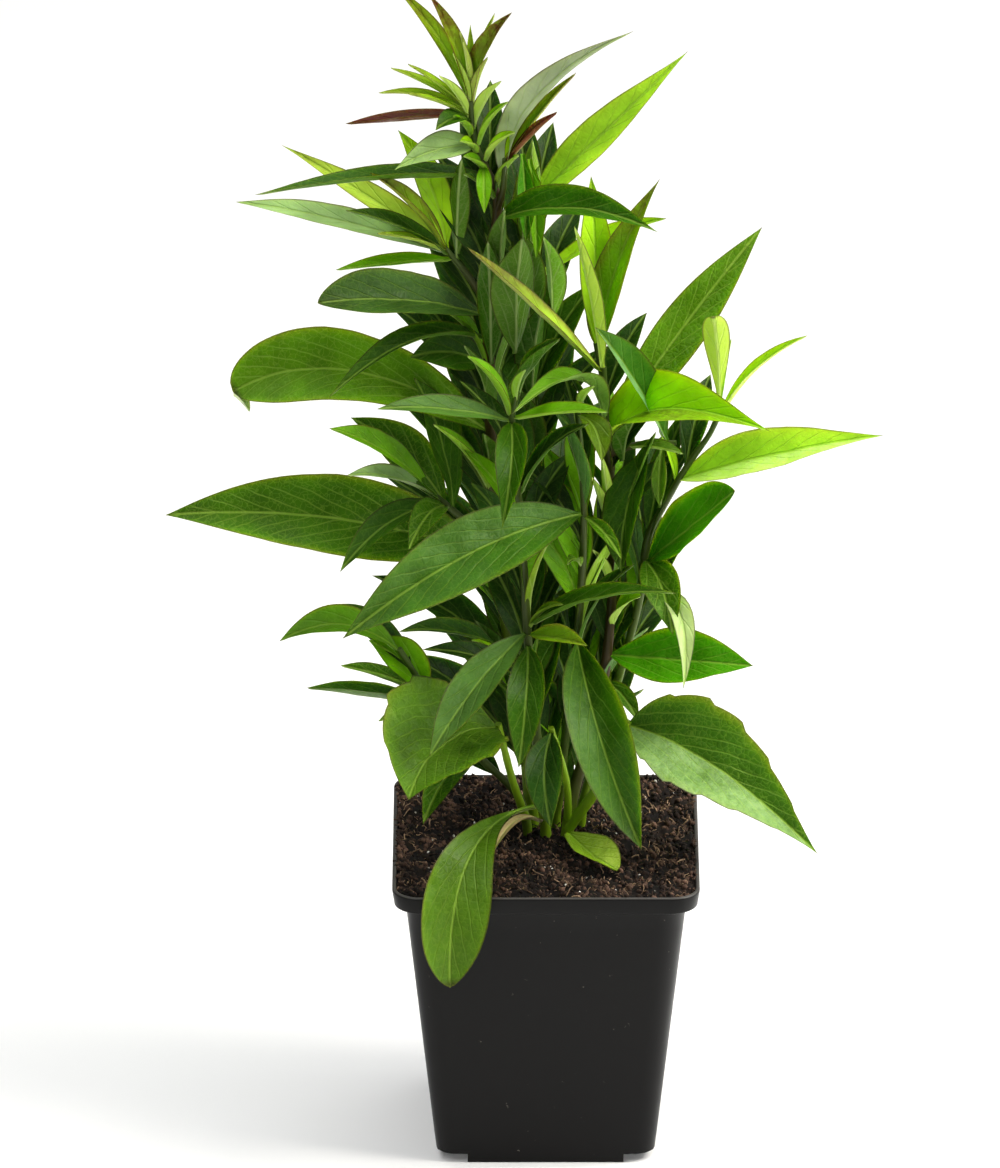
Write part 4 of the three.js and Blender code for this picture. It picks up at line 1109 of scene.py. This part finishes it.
def aster_leaf():
    """A living leaf: waxy skin over green, with a pale rib, slanted side veins and a net between them."""
    material, node, shader = new_material("living leaf")
    upper, lower, wash = (node(ATTRIBUTE, attribute_name=name) for name in ("upper", "lower", "wash"))
    share, phase, under, veined, bloom, flush = (
        node(ATTRIBUTE, attribute_name=name).outputs["Fac"]
        for name in ("along", "phase", "under", "veined", "bloom", "flush"))
    place = node(ATTRIBUTE, attribute_name="blade_place").outputs["Vector"]
    along, out, half = node("ShaderNodeSeparateXYZ", [place]).outputs
    apart = node("ABSOLUTE", [out])
    edge = node("DIVIDE", [apart, half])

    shifted = node(VECTOR, [place, node("ShaderNodeCombineXYZ", {"Z": phase})], operation="ADD")
    cloud = node(NOISE, {"Vector": shifted, "Scale": 90.0, "Detail": 3.0})
    # Side veins leave the rib at an acute angle. The net between them is drawn coarser than life, to show.
    bend = node("MULTIPLY_ADD", [cloud, 2.4 * MM, node("MULTIPLY", [along, 0.34])])
    slant = node("SUBTRACT", [bend, apart])
    step = node("DIVIDE", [slant, VEIN_STEP * MM])
    step = node("SUBTRACT", [node("FRACT", [step]), 0.5])
    side_vein = node(RAMP, [node("ABSOLUTE", [step]), 0.11, 0.02], interpolation_type="SMOOTHSTEP")
    fading = node(RAMP, [edge, 0.98, 0.6])
    side_vein = node("MULTIPLY", [side_vein, fading])
    rib = node(RAMP, [apart, 0.6 * MM, 0.2 * MM], interpolation_type="SMOOTHSTEP")
    warp = node(NOISE, {"Vector": shifted, "Scale": 600.0, "Detail": 1.0})
    warp = node(VECTOR, [warp.outputs["Color"], (0.5, 0.5, 0.5)], operation="SUBTRACT")
    warp = node(VECTOR, [warp, 1.4 * MM], operation="SCALE")
    warp = node(VECTOR, [shifted, warp], operation="ADD")
    net = node("ShaderNodeTexVoronoi", {"Vector": warp, "Scale": 1 / (NET_MESH * MM)},
               feature="DISTANCE_TO_EDGE")
    mesh_lines = node(RAMP, [net.outputs["Distance"], 0.07, 0.01])
    veins = node("MAXIMUM", [node("MULTIPLY", [side_vein, 0.30]), node("MULTIPLY", [mesh_lines, 0.20])])
    veins = node("MULTIPLY", [veins, veined])
    clear = node("MULTIPLY_ADD", [veined, 0.3, 0.22])
    veins = node("MAXIMUM", [veins, node("MULTIPLY", [rib, clear])])

    # The green lies in patches 11 mm wide
    patch = node(RAMP, [cloud, 0.3, 0.7, -0.22, 0.22])
    bright = node("ADD", [1.0, patch])
    upper = node(VECTOR, [upper, bright], operation="SCALE")
    # Painted light and shade: one half of some blades takes a paler colour that stands for sheen, or a darker
    # one that stands for shade, from the rib outwards
    which = node("MULTIPLY", [out, bloom])
    which = node(RAMP, [which, 0.0, 0.5 * MM])
    which = node("MULTIPLY", [which, node("ABSOLUTE", [bloom])])
    which = node("MULTIPLY", [which, node(RAMP, [cloud, 0.2, 0.6, 0.4])])
    mottle = node(NOISE, {"Vector": shifted, "Scale": 420.0, "Detail": 4.0, "Roughness": 0.7})
    which = node("MULTIPLY", [which, node(RAMP, [mottle, 0.3, 0.6, 0.45])])
    upper = node(MIX, [which, upper, wash], data_type="RGBA")
    upper = node(MIX, [veins, upper, "#a6c456"], data_type="RGBA")
    lower = node(MIX, [veins, lower, "#d4e2a0"], data_type="RGBA")
    tint = node(MIX, [node("GREATER_THAN", [under, 0.5]), upper, lower], data_type="RGBA")
    # A brown-red flush runs in from the edges and down from the tip, further on the reddest leaves
    start = node("MULTIPLY_ADD", [flush, -0.5, 0.72])
    rim = node(RAMP, [edge, start, 1.0], interpolation_type="SMOOTHSTEP")
    point = node(RAMP, [share, start, 0.92], interpolation_type="SMOOTHSTEP")
    reach = node("MULTIPLY", [node("MAXIMUM", [rim, point]), flush])
    patchy = node(RAMP, [mottle, 0.36, 0.58, 0.5])
    reach = node("MULTIPLY", [reach, patchy])
    tint = node(MIX, [reach, tint, "#68201e"], data_type="RGBA")
    # A thin dark margin, and a dry tip
    margin = node(RAMP, [node("SUBTRACT", [half, apart]), 0.6 * MM, 0.15 * MM, 0.0, 0.8])
    margin = node("MULTIPLY", [margin, node(RAMP, [edge, 0.84, 0.96])])
    tint = node(MIX, [margin, tint, "#2c2611"], data_type="RGBA")
    dry = node(RAMP, [share, 0.97, 0.99, 0.0, 0.75])
    tint = node(MIX, [dry, tint, "#33291a"], data_type="RGBA")

    # The blade swells between its veins, which lie in grooves
    swells = node(RAMP, [net.outputs["Distance"], 0.0, 0.35])
    quilt = node("MULTIPLY_ADD", [swells, node("MULTIPLY", [veined, 0.6]), cloud])
    quilt = node("MULTIPLY_ADD", [side_vein, -0.8, quilt])
    quilt = node("MULTIPLY_ADD", [rib, -1.2, quilt])
    bump = node(BUMP, {"Strength": 0.7, "Distance": 0.3 * MM, "Height": quilt})
    rough = node(RAMP, [cloud, 0.3, 0.7, 0.36, 0.5])
    fill(shader, {"Base Color": tint, "Roughness": rough, "Normal": bump, "IOR": 1.42,
                  "Specular IOR Level": 0.24, "Subsurface Weight": 0.25,
                  "Subsurface Radius": (0.7, 1.0, 0.2), "Subsurface Scale": 1.0 * MM})
    return material


def aster_stem():
    """A living stem: green and smooth at the foot, flushed purple-brown and finely ridged higher up."""
    material, node, shader = new_material("living stem")
    place = node("ShaderNodeTexCoord").outputs["Object"]
    age = node(ATTRIBUTE, attribute_name="age").outputs["Fac"]
    stretched = node("ShaderNodeMapping", {"Vector": place, "Scale": (1.0, 1.0, 0.08)})
    ridges = node(NOISE, {"Vector": stretched, "Scale": 1200.0, "Detail": 2.0})
    cloud = node(NOISE, {"Vector": place, "Scale": 120.0, "Detail": 3.0})
    flush = node(RAMP, [age, 0.12, 0.6], interpolation_type="SMOOTHSTEP")
    young = node(RAMP, [age, 0.97, 0.72, 0.15], interpolation_type="SMOOTHSTEP")
    flush = node("MULTIPLY", [flush, young])
    blush = node(ATTRIBUTE, attribute_name="blush").outputs["Fac"]
    flush = node("MULTIPLY", [flush, blush])
    flush = node("MULTIPLY", [flush, node("ADD", [cloud, 0.5])], use_clamp=True)
    grown_up = node(RAMP, [age, 0.2, 0.48], interpolation_type="SMOOTHSTEP")
    tint = node(MIX, [grown_up, "#8cb01c", "#47601a"], data_type="RGBA")
    tint = node(MIX, [flush, tint, "#4a2c1c"], data_type="RGBA")
    tint = node(MIX, [node("MULTIPLY", [ridges, 0.25]), tint, "#2e2418"], data_type="RGBA")
    bump = node(BUMP, {"Strength": 0.5, "Distance": 0.15 * MM, "Height": ridges})
    fill(shader, {"Base Color": tint, "Roughness": 0.5, "Normal": bump})
    return material


# The part

studio()
plastic = moulded_polypropylene()
# Moist peat is near black. Its bark crumbs, dry root fibres and white perlite grains stand out against it.
peat = soil_material("peat", "#070403", "#2a1c12", 260.0, 0.0)
bark = soil_material("crumbled bark", "#0a0604", "#7c6152", 300.0, 0.08)
straw = soil_material("dry root fibre", "#2c1a10", "#b4977a", 160.0, 0.4, 0.8)
perlite = soil_material("perlite", "#b8b0a4", "#f1efe9", 500.0, 0.5, 0.9)
leaf = aster_leaf()
stem_skin = aster_stem()

pot = make_pot(plastic)
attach(pot, "root")
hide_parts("pot")
for piece in make_soil(peat, bark, straw, perlite):
    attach(piece, "root")
    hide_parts("soil")

blades, tubes = leaf_tree(), shoot_tree()
for name, stem in PLANT.items():
    curves = stem_curves(stem)
    rows = leaf_rows(stem, curves)
    broad = [row for row in rows if row["width"] >= SLIM_LEAF]
    slim = [row for row in rows if row["width"] < SLIM_LEAF]
    for piece in (leaves_of(f"leaves_{name}", broad, *BROAD_GRID, blades, leaf),
                  leaves_of(f"slim_leaves_{name}", slim, *SLIM_GRID, blades, leaf),
                  shoots_of(f"shoots_{name}", curves, stem.get("blush", 0.2), tubes, stem_skin)):
        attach(piece, "root")
        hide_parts(f"stem_{name}")

bounds = {"cad": cad_box, "visual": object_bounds()}
{key: [list(map(float, corner)) for corner in box] for key, box in bounds.items()}
